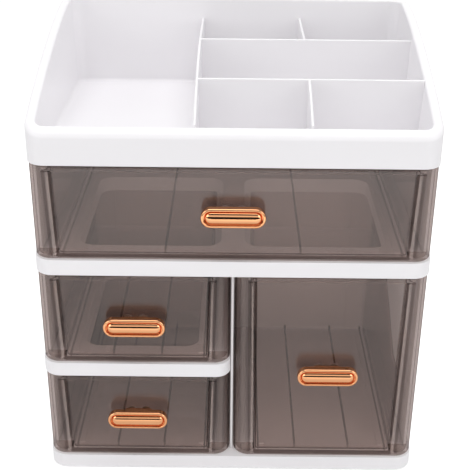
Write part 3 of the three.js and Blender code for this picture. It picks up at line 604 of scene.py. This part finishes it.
def drawerBox(look, name, x, y, z, wall):
    # drafted walls on a rounded foot: a block widened at its top, then rounded
    margin = look.boxMargin + wall
    draft = look.boxDraft
    box = addBlock(name, (x[0] + margin + draft, x[1] - margin - draft), y, z)
    edit(box)
    drawIn(box, at("z", z[1]), (x[0] + x[1]) / 2, -draft)
    for place, radius in ((y[0], look.innerFrontRadius), (y[1], look.backRadius - wall)):
        upright = look.shortestUpright
        roundEdges(box, radius, 8, lambda a, b: at("y", place)(a, b) and abs(a.z - b.z) > upright)
    foot = max(look.floorRadius - wall, look.floorRadius / 2)
    pastCorner = y[0] + look.innerFrontRadius * look.cornerShare
    roundEdges(box, foot, 6, lambda a, b: at("z", z[0])(a, b) and max(a.y, b.y) > pastCorner)
    doneEditing()
    return box


def sideCutter(look, x, z, boxBack, side):
    # what is cut off a side wall: it falls from the back's full height towards the front
    reach = look.boxMargin + look.boxDraft + look.boxWall + over
    span = (x[0], x[0] + reach) if side < 0 else (x[1] - reach, x[1])
    end = boxBack - look.backRadius
    foot = z[0] + look.sideFrontHeight
    cutter = addBlock("side cut", span, (deepIn(look.sideCutStart), end), (foot, z[1] + over))
    edit(cutter)
    cutAcross(cutter, [deepIn(look.sideFrontRun)])
    moveVerts(cutter, lambda p: near(p.y, end) and near(p.z, foot), lambda p: Vector((p.x, p.y, z[1])))
    doneEditing()
    return cutter


def markFolds(drawer, look, x, z, floor, ribSpacing):
    # every point gets its distances from the folds of the recess, the box's foot and the ribs, which place
    # the finish's painted shade and highlights
    foot, head = z[0] + look.recessBottom, z[1] - look.recessTop
    foldInset = look.recessMargin + look.recessSlope
    wallInset = look.boxMargin + look.boxDraft
    rib = ribSpacing / 2
    middle = (x[0] + x[1]) / 2
    mesh = drawer.data
    names = ("recessSides", "recessEnds", "boxFloor", "floorRibs")
    for name in names:
        mesh.attributes.new(name, "FLOAT_VECTOR", "POINT")
    sides, ends, floors, ribs = (mesh.attributes[name].data for name in names)
    for i, vert in enumerate(mesh.vertices):
        p = vert.co
        lean = look.recessTaper * (head - p.z) / (head - foot)
        sides[i].vector = (p.x - x[0] - foldInset - lean, x[1] - foldInset - lean - p.x, 0)
        ends[i].vector = (p.z - foot, head - p.z, p.y - deepIn(look.faceInset))
        floors[i].vector = (p.x - x[0] - wallInset, x[1] - wallInset - p.x, p.z - floor)
        ribs[i].vector = (p.x - middle + rib, p.x - middle - rib, p.y - deepIn(look.ribStart))


def makeDrawer(node, bay, look):
    x, _, z = zip(*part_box(node))
    bayLow, bayHigh = level[bay.low], level[bay.high]
    face = deepIn(look.faceInset)
    frontBack = face + look.frontDepth
    wall = look.wall
    radius = look.frontRadius
    drawer = planBlock(node + "_moulding", x, (face, frontBack), z, (radius, radius, 0, 0), 16)
    edit(drawer)
    for height in z:
        roundEdges(
            drawer, look.edgeRound, 5,
            lambda *ends: at("z", height)(*ends) and not at("y", frontBack)(*ends),
        )
    doneEditing()
    hollow = planBlock(
        "hollow", (x[0] + wall, x[1] - wall), (face + wall, frontBack + over), (z[0] + wall, z[1] - wall),
        (radius - wall, radius - wall, 0, 0), 14,
    )
    carve(hollow, recessCutter(look, x, z, wall))
    carve(drawer, recessCutter(look, x, z, 0), hollow)
    panelBack = face + look.recessDepth + wall
    boxLow, boxTop = bayLow + look.floorGap, bayHigh - look.boxTopGap
    boxBack = deepIn(look.boxBackDepth)
    boxWall = look.boxWall
    floor = boxLow + boxWall
    weld(drawer, drawerBox(look, "box", x, (panelBack - wall / 2, boxBack), (boxLow, boxTop), 0))
    insideY = (panelBack, boxBack - boxWall)
    carve(drawer, drawerBox(look, "inside", x, insideY, (floor, boxTop + over / 2), boxWall))
    for side in (-1, 1):
        rib = (x[0] + x[1]) / 2 + side * bay.ribSpacing / 2
        half = look.ribWidth / 2
        y = (deepIn(look.ribStart), boxBack - look.ribStart)
        ribZ = (floor - look.ribHeight, floor + look.ribHeight)
        weld(drawer, addBlock("rib", (rib - half, rib + half), y, ribZ))
        hole = (x[0] + x[1]) / 2 + side * look.screwSpacing / 2
        height = middleOf(node + "_knob").z
        carve(drawer, addPost("hole", look.screwHole, hole, (face, panelBack + over), height, 24))
    if bay.get("slopedSides"):
        for side in (-1, 1):
            carve(drawer, sideCutter(look, x, (bayLow, boxTop), boxBack, side))
    finishPiece(drawer, look.softEdge)
    flattenFaces(drawer, look.largeFace)
    markFolds(drawer, look, x, z, floor, bay.ribSpacing)
    return standFor(drawer, node)


for node, bay in bays.items():
    makeDrawer(node, bay, drawerLook)
print("drawers modelled")


# Top tray: a hollow double wall whose rounded rim climbs from front to back, with moulded dividers
trayLook = Look(
    frontHeight=0.0235, rise=0.0515, riseRun=0.188, rimPulls=(0.22, 0.42, 0.75, 0.98), rimWidth=0.0078,
    rimOuterRadius=0.004, rimInnerRadius=0.002, wall=0.0022, draft=0.0024, floor=0.0025,
    floorFillet=0.003, overlap=0.009, stations=26, dividerHeight=0.024, dividerRise=0.0345,
    dividerRun=0.13, dividerPulls=(0.2, 0.42, 0.62, 0.98), dividerWall=0.002, dividerRound=0.0007,
    dividerBlock=0.02, dividerStart=0.0004, mainDivider=-0.0275, smallDivider=0.0543,
    crossDividers=(0.0577, 0.1265), curveSteps=30, softEdge=0.0005,
)
ringReach = 1e-4        # how far a point may be off a rounded outline


def riseAt(look, y, run, rise, pulls):
    # height of a rising curve at a place along Y, flat past its run
    share = min(max((y - body.front) / run, 0), 1)
    x1, y1, x2, y2 = pulls
    low, high = 0.0, 1.0
    for _ in range(look.curveSteps):
        t = (low + high) / 2
        x = 3 * (1 - t) ** 2 * t * x1 + 3 * (1 - t) * t ** 2 * x2 + t ** 3
        if x < share:
            low = t
        else:
            high = t
    return rise * (3 * (1 - low) ** 2 * low * y1 + 3 * (1 - low) * low ** 2 * y2 + low ** 3)


def rimRise(look, y):
    return riseAt(look, y, look.riseRun, look.rise, look.rimPulls)


def dividerTop(look, y):
    rise = riseAt(look, y, look.dividerRun, look.dividerRise, look.dividerPulls)
    return level.trayBottom + look.dividerHeight + rise


def spread(low, high, count):
    return [low + (high - low) * (i + 0.5) / count for i in range(count)]


def makeDivider(look, x, y):
    # an upright wall between two places, its top edge on the dividers' curve
    foot = level.trayBottom + look.floor / 2
    top = foot + look.dividerBlock
    half = look.dividerWall / 2
    along = 1 if near(x[0], x[1]) else 0
    across = 1 - along
    wideX, wideY = ((x[0] - half, x[1] + half), y) if along else (x, (y[0] - half, y[1] + half))
    wall = addBlock("divider", wideX, wideY, (foot, top))
    edit(wall)
    if along:
        cutAcross(wall, spread(y[0], y[1], look.stations // 2))
    moveVerts(wall, at("z", top), lambda p: Vector((p.x, p.y, dividerTop(look, p.y if along else y[0]))))
    roundEdges(
        wall, look.dividerRound, 3,
        lambda a, b: min(a.z, b.z) > foot + over and near(a[across], b[across])
        and not near(a[along], b[along]),
    )
    doneEditing()
    return wall


def outlineDepth(p):
    # how far a point lies inside the body's rounded outline
    reach = []
    half = (body.right - body.left) / 2
    x = abs(p.x - (body.right + body.left) / 2)
    for edgeY, inward, radius in ((body.front, 1, body.frontRadius), (body.back, -1, body.backRadius)):
        depth = (p.y - edgeY) * inward
        dx = x - (half - radius)
        dy = radius - depth
        if dx > 0 and dy > 0:
            return radius - math.hypot(dx, dy)
        reach.append(depth)
    return min(half - x, *reach)


def roundTheBody(z, inward):
    # a test for edges that run round the body at a level and a depth, and not across it
    return lambda a, b: at("z", z)(a, b) and all(
        abs(outlineDepth(p) - inward) < ringReach for p in (a, b, (a + b) / 2)
    )


def makeTray(look):
    bottom = level.trayBottom
    rim = bottom + look.frontHeight
    wallFoot = look.rimWidth + look.draft
    tray = outlineBlock("top_tray_moulding", 0, (bottom, rim), 16)
    edit(tray)
    cutAcross(tray, spread(body.front + body.frontRadius, body.back - body.backRadius, look.stations))
    roundEdges(tray, look.rimOuterRadius, 7, roundTheBody(rim, 0))
    pick(tray, "faces", faceAt("z", rim))
    inset(look.rimWidth - look.rimOuterRadius)
    inset(look.draft, -(rim - bottom - look.floor))
    roundEdges(tray, look.rimInnerRadius, 5, roundTheBody(rim, look.rimWidth))
    roundEdges(tray, look.floorFillet, 5, roundTheBody(bottom + look.floor, wallFoot))
    # the hollow of the wall, open underneath, where the side and back panels go in
    pick(tray, "faces", lambda f: facing("z", -1)(f) and near(f.calc_center_median().z, bottom))
    inset(look.wall)
    inset(wallFoot - 2 * look.wall)

    def inBand(face):
        nearest = min(outlineDepth(vert.co) for vert in face.verts) + ringReach
        return faceAt("z", bottom)(face) and look.wall < nearest < wallFoot - look.wall

    pick(tray, "faces", inBand)
    pull(0, 0, look.overlap)
    inset(look.wall, -(look.frontHeight - look.rimOuterRadius - look.overlap - over))
    lifted = bottom + look.overlap + over
    moveVerts(tray, lambda p: p.z > lifted, lambda p: Vector((p.x, p.y, p.z + rimRise(look, p.y))))
    doneEditing()
    wallLine = look.rimWidth + look.dividerStart
    first, second = (deepIn(depth) for depth in look.crossDividers)
    front, back = body.front + wallLine, body.back - wallLine
    main, small = (look.mainDivider,) * 2, (look.smallDivider,) * 2
    right = (look.mainDivider, body.right - wallLine)
    for x, y in (
        (main, (front, back)), (right, (first, first)), (right, (second, second)),
        (small, (front, first)), (small, (second, back)),
    ):
        weld(tray, makeDivider(look, x, y))
    finishPiece(tray, look.softEdge, 3, 50, flatten=False)
    return standFor(tray, "top_tray")


makeTray(trayLook)
print("tray modelled")


# Knobs: a plated pill with a rounded rim and a half-round bar in its sunk field, on a tapered stem
knobLook = Look(
    width=0.0465, height=0.015, endFlat=1e-5, endMerge=3e-5, rimDepth=0.0063, frontRound=0.0013,
    backRound=0.0016, rim=0.002, innerRound=0.0005, fieldDepth=0.0024, groove=0.0007, barRise=0.0033,
    barSteps=9, barTurn=0.97, stemWidth=0.019, stemRoot=0.021, stemHeight=0.009, stemRound=0.0016,
    stemReach=0.0049, screwDepth=0.0075, softEdge=0.0002,
)


def makeKnob(look):
    # modelled once about the origin, facing -Y, its back on the plane y = 0
    half = Vector((look.width / 2, 0, look.height / 2))
    front = -look.rimDepth
    knob = addBlock("knob", (-half.x, half.x), (front, 0), (-half.z, half.z))
    edit(knob)
    roundEdges(knob, half.z - look.endFlat, 14, lambda a, b: not near(a.y, b.y))
    bpy.ops.mesh.select_all(action="SELECT")
    bpy.ops.mesh.remove_doubles(threshold=look.endMerge)
    for place, radius in ((front, look.frontRound), (0, look.backRound)):
        roundEdges(knob, radius, 8, at("y", place))
    pick(knob, "faces", faceAt("y", front))
    inset(look.rim - look.frontRound)
    pull(0, look.fieldDepth, 0)
    inset(look.groove)
    radius = half.z - look.rim - look.groove
    steps = look.barSteps
    for i in range(steps):
        turn = [math.pi / 2 * look.barTurn * (i + k) / steps for k in (0, 1)]
        inward = radius * (math.cos(turn[0]) - math.cos(turn[1]))
        inset(inward, look.barRise * (math.sin(turn[1]) - math.sin(turn[0])))
    rimLine = half.z - look.rim
    straight = half.x - half.z

    def onInnerEdge(*ends):
        # the edge where the rim turns down into the field
        ring = [math.hypot(max(abs(p.x) - straight, 0), p.z) for p in ends]
        return at("y", front)(*ends) and all(abs(r - rimLine) < ringReach for r in ring)

    roundEdges(knob, look.innerRound, 3, onInnerEdge)
    doneEditing()
    reach = look.stemReach
    x = (-look.stemWidth / 2, look.stemWidth / 2)
    stem = addBlock("stem", x, (-look.backRound, reach), (-look.stemHeight / 2, look.stemHeight / 2))
    edit(stem)
    flare = look.stemRoot / look.stemWidth
    moveVerts(stem, at("y", reach), lambda p: Vector((p.x * flare, p.y, p.z)))
    roundEdges(stem, look.stemRound, 5, lambda a, b: not near(a.y, b.y))
    doneEditing()
    weld(knob, stem)
    for side in (-1, 1):
        x = side * drawerLook.screwSpacing / 2
        y = (reach - look.screwDepth, reach + over)
        carve(knob, addPost("hole", drawerLook.screwHole, x, y, 0, 20))
    return finishPiece(knob, look.softEdge, 2, 45)


# Screws: pan head with a cross recess, against the inner face of a drawer front
screwLook = Look(
    headRadius=0.004, headHeight=0.002, headRound=0.0012, shankRadius=0.0014, length=0.009,
    point=0.0008, crossLength=0.0044, crossWidth=0.0009, crossDepth=0.001, crossTaper=0.7,
    softEdge=0.00012,
)


def makeScrew(look):
    # modelled once, its head from y = 0 towards +Y and its shank towards -Y
    height = look.headHeight
    screw = addPost("screw", look.headRadius, 0, (0, height), 0, 32)
    edit(screw)
    roundEdges(screw, look.headRound, 5, at("y", height))
    doneEditing()
    shank = addPost("shank", look.shankRadius, 0, (-look.length, height / 2), 0, 20)
    edit(shank)
    roundEdges(shank, look.point, 2, at("y", -look.length))
    doneEditing()
    weld(screw, shank)
    reach = look.crossLength / 2
    half = look.crossWidth / 2
    floor = height - look.crossDepth
    taper = look.crossTaper
    for x, z in ((reach, half), (half, reach)):
        slit = addBlock("recess", (-x, x), (floor, height + over), (-z, z))
        edit(slit)
        moveVerts(slit, at("y", floor), lambda p: Vector((p.x * taper, p.y, p.z * taper)))
        doneEditing()
        carve(screw, slit)
    return finishPiece(screw, look.softEdge)


knobPattern = makeKnob(knobLook)
screwPattern = makeScrew(screwLook)
for drawer in bays:
    copies = [(drawer + "_knob", "_plated", knobPattern, knobLook.stemReach)]
    for side in ("_screw_left", "_screw_right"):
        copies.append((drawer + side, "_pan_head", screwPattern, screwLook.headHeight))
    for node, ending, pattern, reach in copies:
        middle = middleOf(node)
        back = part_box(node)[1].y - reach
        standFor(copyTo(pattern, node + ending, (middle.x, back, middle.z)), node)
for pattern in (knobPattern, screwPattern):
    bpy.data.objects.remove(pattern, do_unlink=True)
print("knobs and screws modelled")


# Shelves, base and partition: moulded white plates with rims, ribs, troughs and runners
shelfLook = Look(
    cutFront=0.026, cutBack=0.16, cutRadius=0.012, cutWall=0.002, webHalf=0.009, sideMargin=0.03,
    smallInnerMargin=0.026, smallInnerRadius=0.012, noseTighter=0.002, troughDepth=0.005,
    runnerHeight=0.0012, runnerWidth=0.004, runnerInset=0.007, railHeight=0.004, railWall=0.002,
    railStart=0.016, railEnd=0.012, partition=0.0018, partitionFront=0.0105, partitionRail=0.003,
    ledgeWidth=0.004, ledgeHeight=0.003, ledgeStart=0.018, columns=8, rows=6, sideOverrun=0.01,
    softEdge=0.0006, fineEdge=0.0003,
)
panelInset = body.skirt + seat
panelInner = panelInset + body.panel
plateInner = 2 * body.skirt + body.trough
backFace = body.back - panelInner
beamBack = deepIn(body.beam)
partitionFace = shelfLook.partition / 2 + seat
wide = (body.left - shelfLook.sideOverrun, body.right + shelfLook.sideOverrun)


def panelBand(name, outer, inner, z, front):
    # follows the sides and the back of the body, behind the front beam
    past = (z[0] - over, z[1] + over)
    return carve(
        outlineBlock(name, outer, z), outlineBlock("inside", inner, past),
        addBlock("front", wide, (body.front - over, front), past),
    )


def trough(z0, z1):
    return panelBand("trough", body.skirt, body.skirt + body.trough, (z0, z1), beamBack)


def cutOut(x, grow, z):
    radius = shelfLook.cutRadius + grow
    y = (deepIn(shelfLook.cutFront) - grow, deepIn(shelfLook.cutBack) + grow)
    return planBlock("cut-out", (x[0] - grow, x[1] + grow), y, z, (radius,) * 4, 10)


def addRunners(shelf, drawer, floor, end):
    # two runner strips under a drawer and a guide rail on either side of it
    look = shelfLook
    wallInset = drawerLook.boxMargin + drawerLook.boxDraft
    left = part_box(drawer)[0].x + wallInset
    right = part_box(drawer)[1].x - wallInset
    y = (deepIn(look.railStart), end - look.railEnd)
    foot = floor - body.rib
    half = look.runnerWidth / 2
    for x in (left + look.runnerInset, right - look.runnerInset):
        weld(shelf, addBlock("runner", (x - half, x + half), y, (foot, floor + look.runnerHeight)))
    gap = gaps.slide
    for x in ((left - gap - look.railWall, left - gap), (right + gap, right + gap + look.railWall)):
        weld(shelf, addBlock("rail", x, y, (foot, floor + look.railHeight)))
    return shelf


def makeMainShelf(look):
    bottom, top = level.mainShelfBottom, level.mainShelfTop
    ceiling = top - body.plate
    outer = body.right - look.sideMargin
    spans = ((-outer, -look.webHalf), (look.webHalf, outer))
    low = bottom - over
    through = (low - over, top)
    shelf = outlineBlock("main_shelf_moulding", 0, (bottom, top), 16)
    inside = outlineBlock("inside", plateInner, (low, ceiling))
    carve(inside, addBlock("beam", wide, (body.front - over, beamBack), through))
    for x in spans:
        carve(inside, cutOut(x, look.cutWall, through))
    ribX = partitionFace + body.rib
    rearRib = (deepIn(look.cutBack) + body.back - plateInner) / 2
    for side in (-1, 1):
        carve(inside, addBlock("rib", (side * partitionFace, side * ribX), (body.front, body.back), through))
        y = (rearRib, rearRib + body.rib)
        carve(inside, addBlock("rib", (side * ribX, side * body.right), y, through))
    beam = outlineBlock("beam", body.skirt, (low, ceiling))
    behind = (deepIn(body.beam - body.skirt), body.back + over)
    carve(beam, addBlock("behind", wide, behind, through))
    depth = look.troughDepth
    carve(shelf, trough(top - depth, top + over), trough(low, bottom + depth), inside, beam)
    for x in spans:
        carve(shelf, cutOut(x, 0, (low, top + over)))
    addRunners(shelf, "wide_drawer", top, backFace)
    return standFor(finishPiece(shelf, look.softEdge, 3, 50), "main_shelf")


def makeSmallShelf(look):
    bottom, top = level.smallShelfBottom, level.smallShelfTop
    low = bottom - over
    hollowZ = (low, top - body.plate)
    right = -partitionFace
    left = body.left + panelInner + seat
    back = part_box("small_shelf")[1].y
    backRadius = body.backRadius - panelInner - seat
    skirt = body.skirt
    nose = planBlock(
        "small_shelf_moulding", (body.left, right), (body.front, beamBack), (bottom, top),
        (body.frontRadius, look.smallInnerRadius, 0, 0), 16,
    )
    plateY = (beamBack - skirt, back)
    plate = planBlock("plate", (left, right), plateY, (bottom, top), (0, 0, backRadius, 0), 10)
    shelf = weld(nose, plate)
    noseRadius = body.frontRadius - skirt - look.noseTighter
    noseHollow = planBlock(
        "nose hollow", (body.left + skirt, right - skirt), (body.front + skirt, beamBack - skirt),
        hollowZ, (noseRadius, look.smallInnerRadius - skirt, 0, 0), 10,
    )
    plateHollow = planBlock(
        "plate hollow", (left + skirt, right - skirt), (beamBack, back - skirt), hollowZ,
        (0, 0, backRadius - skirt, 0), 10,
    )
    x = (body.left + look.sideMargin, -look.smallInnerMargin)
    carve(plateHollow, cutOut(x, look.cutWall, (low - over, top)))
    rearRib = (deepIn(look.cutBack) + back - skirt) / 2
    carve(plateHollow, addBlock("rib", (left, right), (rearRib, rearRib + body.rib), (low - over, top)))
    carve(shelf, noseHollow, plateHollow, cutOut(x, 0, (low, top + over)))
    addRunners(shelf, "upper_small_drawer", top, back)
    return standFor(finishPiece(shelf, look.softEdge, 3, 50), "small_shelf")


# Feet: rubber pads, pressed into the base
footLook = Look(radius=0.007, round=0.0006, padShare=0.45, softEdge=0.00015)
footNodes = ("foot_front_left", "foot_front_right", "foot_back_left", "foot_back_right")


def makeFoot(look, node):
    low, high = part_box(node)
    middle = middleOf(node)
    foot = addPost(node + "_pad", look.radius, middle.x, middle.y, (low.z, high.z), 40)
    edit(foot)
    roundEdges(foot, look.round, 4, at("z", low.z))
    pick(foot, "faces", faceAt("z", low.z))
    inset(look.radius * look.padShare)
    inset(look.round, -look.round)
    doneEditing()
    return standFor(finishPiece(foot, look.softEdge, 2, 50), node)


def footCutters(name, radius, low, top):
    # a round bar over each foot
    for node in footNodes:
        middle = middleOf(node)
        yield addPost(name, radius, middle.x, middle.y, (low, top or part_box(node)[1].z + seat))


def makeBase(look):
    bottom, top = level.baseBottom, level.baseTop
    low = bottom - over
    base = outlineBlock("base_moulding", 0, (bottom, top), 16)
    left = body.left + plateInner
    front = body.front + body.skirt
    rib = body.rib
    columnPitch = (-2 * left + rib) / look.columns
    rowPitch = (body.back - plateInner - front + rib) / look.rows
    x, y = (left, left + columnPitch - rib), (front, front + rowPitch - rib)
    cells = addBlock("cells", x, y, (low, top - body.plate))
    for count, offset in ((look.columns, (columnPitch, 0, 0)), (look.rows, (0, rowPitch, 0))):
        modify(
            cells, "ARRAY", count=count, use_relative_offset=False, use_constant_offset=True,
            constant_offset_displace=offset,
        )
    inside = outlineBlock("inside", plateInner, (low - over, top))
    frontInside = outlineBlock("front inside", body.skirt, (low - over, top))
    past = (low - 2 * over, top + over)
    carve(
        frontInside, addBlock("behind", wide, (beamBack, body.back + over), past),
        addBlock("left", (wide[0], left), (body.front, body.back), past),
        addBlock("right", (-left, wide[1]), (body.front, body.back), past),
    )
    combine(cells, weld(inside, frontInside), "INTERSECT")
    seatRadius = footLook.radius + seat
    carve(cells, *footCutters("boss", seatRadius + body.skirt, low - over, top))
    carve(base, cells, trough(top - look.troughDepth, top + over))
    carve(base, *footCutters("seat", seatRadius, low, None))
    y = (deepIn(look.railStart), backFace - seat - look.railEnd)
    for side in (-1, 1):
        x = (side * partitionFace, side * (partitionFace + rib))
        weld(base, addBlock("rail", x, y, (top - rib, top + look.partitionRail)))
    addRunners(base, "lower_small_drawer", top, backFace)
    addRunners(base, "tall_drawer", top, backFace)
    return standFor(finishPiece(base, look.softEdge, 3, 50), "base_panel")


def addLedge(piece, x0, x1):
    top = level.smallShelfBottom - seat
    y = (deepIn(shelfLook.ledgeStart), backFace - shelfLook.railEnd)
    return weld(piece, addBlock("ledge", (x0, x1), y, (top - shelfLook.ledgeHeight, top)))


def makePartition(look):
    half = look.partition / 2
    shoulder = level.mainShelfBottom - seat
    y = (deepIn(look.partitionFront), backFace - seat)
    wall = addBlock("partition_plate", (-half, half), y, (level.baseTop + seat, shoulder))
    tongueY = (beamBack + seat, body.back - plateInner - seat)
    edit(wall)
    cutAcross(wall, tongueY)
    pick(wall, "faces", lambda f: facing("z", 1)(f) and tongueY[0] < f.calc_center_median().y < tongueY[1])
    pull(0, 0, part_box("partition")[1].z - shoulder)
    doneEditing()
    addLedge(wall, -half - look.ledgeWidth, -half)
    return standFor(finishPiece(wall, look.fineEdge, 2, 50), "partition")


# Side and back panels: flat sides, a rounded back corner and a strip behind each joint
panelLook = Look(cornerReturn=0.01, stripOverlap=0.008, stripWidth=0.014, strip=0.002, softEdge=0.0003)


def makeSidePanel(look, node, side, stripZ):
    _, _, z = zip(*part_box(node))
    joint = body.right - body.backRadius - look.cornerReturn
    panel = panelBand(node + "_wall", panelInset, panelInner, z, beamBack + seat)
    away = (-joint, wide[1]) if side < 0 else (wide[0], joint)
    carve(panel, addBlock("away", away, (body.front - over, body.back + over), (z[0] - over, z[1] + over)))
    start = joint - look.stripOverlap
    far = start + look.stripWidth
    stripBack = backFace - seat
    weld(panel, addBlock("strip", (side * start, side * far), (stripBack - look.strip, stripBack), stripZ))
    footY = (stripBack - seat, backFace + seat)
    weld(panel, addBlock("strip foot", (side * joint, side * far), footY, stripZ))
    if node == "lower_left_side":
        inner = body.left + panelInner
        addLedge(panel, inner - body.panel / 2, inner + shelfLook.ledgeWidth)
    return standFor(finishPiece(panel, look.softEdge, 2, 50), node)


def makeBackPanel(look, node):
    panel = addBlock(node + "_plate", *zip(*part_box(node)))
    edit(panel)
    pick(panel, "edges", lambda e: not near(e.verts[0].co.z, e.verts[1].co.z))
    bpy.ops.mesh.bevel(offset=look.softEdge * 2, segments=3, affect="EDGES")
    doneEditing()
    return standFor(finishPiece(panel, look.softEdge, 2, 50), node)


makeMainShelf(shelfLook)
makeSmallShelf(shelfLook)
makeBase(shelfLook)
makePartition(shelfLook)
for node in footNodes:
    makeFoot(footLook, node)
print("shelves, base, partition and feet modelled")

stripLevels = {
    "lower": (level.baseTop + seat, level.mainShelfBottom - seat),
    "upper": (level.mainShelfTop + seat, level.trayBottom - seat),
}
for storey, stripZ in stripLevels.items():
    makeSidePanel(panelLook, storey + "_left_side", -1, stripZ)
    makeSidePanel(panelLook, storey + "_right_side", 1, stripZ)
    makeBackPanel(panelLook, storey + "_back_panel")
print("panels modelled")


# Studio: pale floor, a soft sky and large lamps
studio = Look(
    floorSize=6.0,
    floorColour=rgb(0.9, 0.9, 0.9),
    floorLift=0.45,
    # painted shade: the floor mirrored in polished surfaces glows dimmer near the object than far from it
    mirroredFloor=Look(near=0.8, far=1.85, start=-0.12, end=-0.75),
    skyLight=0.57,
    lamps=[
        Look(name="top lamp", place=(0.0, -0.2, 1.9), aim=(0, 0, 0.2), size=(1.6, 1.4), power=15.5),
        Look(name="left lamp", place=(-1.5, -1.2, 0.9), aim=(0, 0, 0.15), size=(0.9, 1.4), power=7),
        Look(name="right lamp", place=(1.5, -1.2, 0.9), aim=(0, 0, 0.15), size=(0.9, 1.4), power=7),
    ],
    cards=[
        Look(name="low dark card", start=(-0.79, 0.002), end=(-1.9, 0.55), width=6.0),
        Look(name="high dark card", start=(-1.9, 1.5), end=(-0.9, 1.75), width=4.0),
    ],
    cardColour=rgb(0.02, 0.018, 0.018),
    wallsPassed=32,
)


def seenWhite(finish):
    path = finish.make("LightPath")
    camera, glossy, through = (
        finish.value(path, name) for name in ("Is Camera Ray", "Is Glossy Ray", "Is Transmission Ray")
    )
    return camera.most(glossy.most(through))


def whiteLight(finish, kind, strength):
    return finish.make(kind, {"Color": rgb(1, 1, 1), "Strength": strength})


def addFloor(setup):
    deselect()
    bpy.ops.mesh.primitive_plane_add(size=setup.floorSize)
    floor = bpy.context.active_object
    floor.name = "floor"
    finish = Finish("pale floor")
    lift = whiteLight(finish, "Emission", seenWhite(finish) * setup.floorLift)
    matte = finish.make("BsdfDiffuse", {"Color": setup.floorColour})
    both = finish.make("AddShader", {0: matte, 1: lift})
    # polished surfaces mirror a plain glowing floor, with painted shade close to the object where it glows
    # dimmer
    shade = setup.mirroredFloor
    _, y, _ = finish.numbers(finish.objectPlace())
    away = ((y - shade.start) / (shade.end - shade.start)).held()
    close, distant = (whiteLight(finish, "Emission", shade[end]) for end in ("near", "far"))
    glossy = finish.read("LightPath", output="Is Glossy Ray")
    floor.data.materials.append(finish.output(finish.mixed(glossy, both, finish.mixed(away, close, distant))))


def addSky(setup):
    # lights the scene with its own strength, and shows plain white
    bpy.context.scene.world = bpy.data.worlds.new("studio")
    sky = Finish("studio", bpy.context.scene.world)
    light, shown = (whiteLight(sky, "Background", strength) for strength in (setup.skyLight, 1.0))
    sky.make("OutputWorld", {"Surface": sky.mixed(seenWhite(sky), light, shown)})


def addLamp(setup):
    lamp = bpy.data.lights.new(setup.name, "AREA")
    lamp.shape = "RECTANGLE"
    lamp.size, lamp.size_y = setup.size
    lamp.energy = setup.power
    holder = bpy.data.objects.new(setup.name, lamp)
    bpy.context.scene.collection.objects.link(holder)
    holder.location = setup.place
    aim = Vector(setup.aim) - Vector(setup.place)
    holder.rotation_euler = aim.to_track_quat("-Z", "Y").to_euler()


def addCard(setup, material):
    # a dark card in front of the object, which only shows in polished surfaces
    first, last = Vector((0, *setup.start)), Vector((0, *setup.end))
    reach = last - first
    lean = math.atan2(reach.z, reach.y)
    deselect()
    bpy.ops.mesh.primitive_plane_add(size=1, location=(first + last) / 2, rotation=(lean, 0, 0))
    card = bpy.context.active_object
    card.name = setup.name
    card.scale = (setup.width, reach.length, 1)
    card.data.materials.append(material)
    for ray in ("camera", "diffuse", "shadow", "transmission"):
        setattr(card, "visible_" + ray, False)


addFloor(studio)
addSky(studio)
cardFinish = Finish("dark card")
cardMatte = cardFinish.output(cardFinish.make("BsdfDiffuse", {"Color": studio.cardColour}))
for cardSetup in studio.cards:
    addCard(cardSetup, cardMatte)
for lampSetup in studio.lamps:
    addLamp(lampSetup)
scene = bpy.context.scene
scene.view_settings.view_transform = "Standard"
scene.cycles.transparent_max_bounces = studio.wallsPassed
print("studio ready")
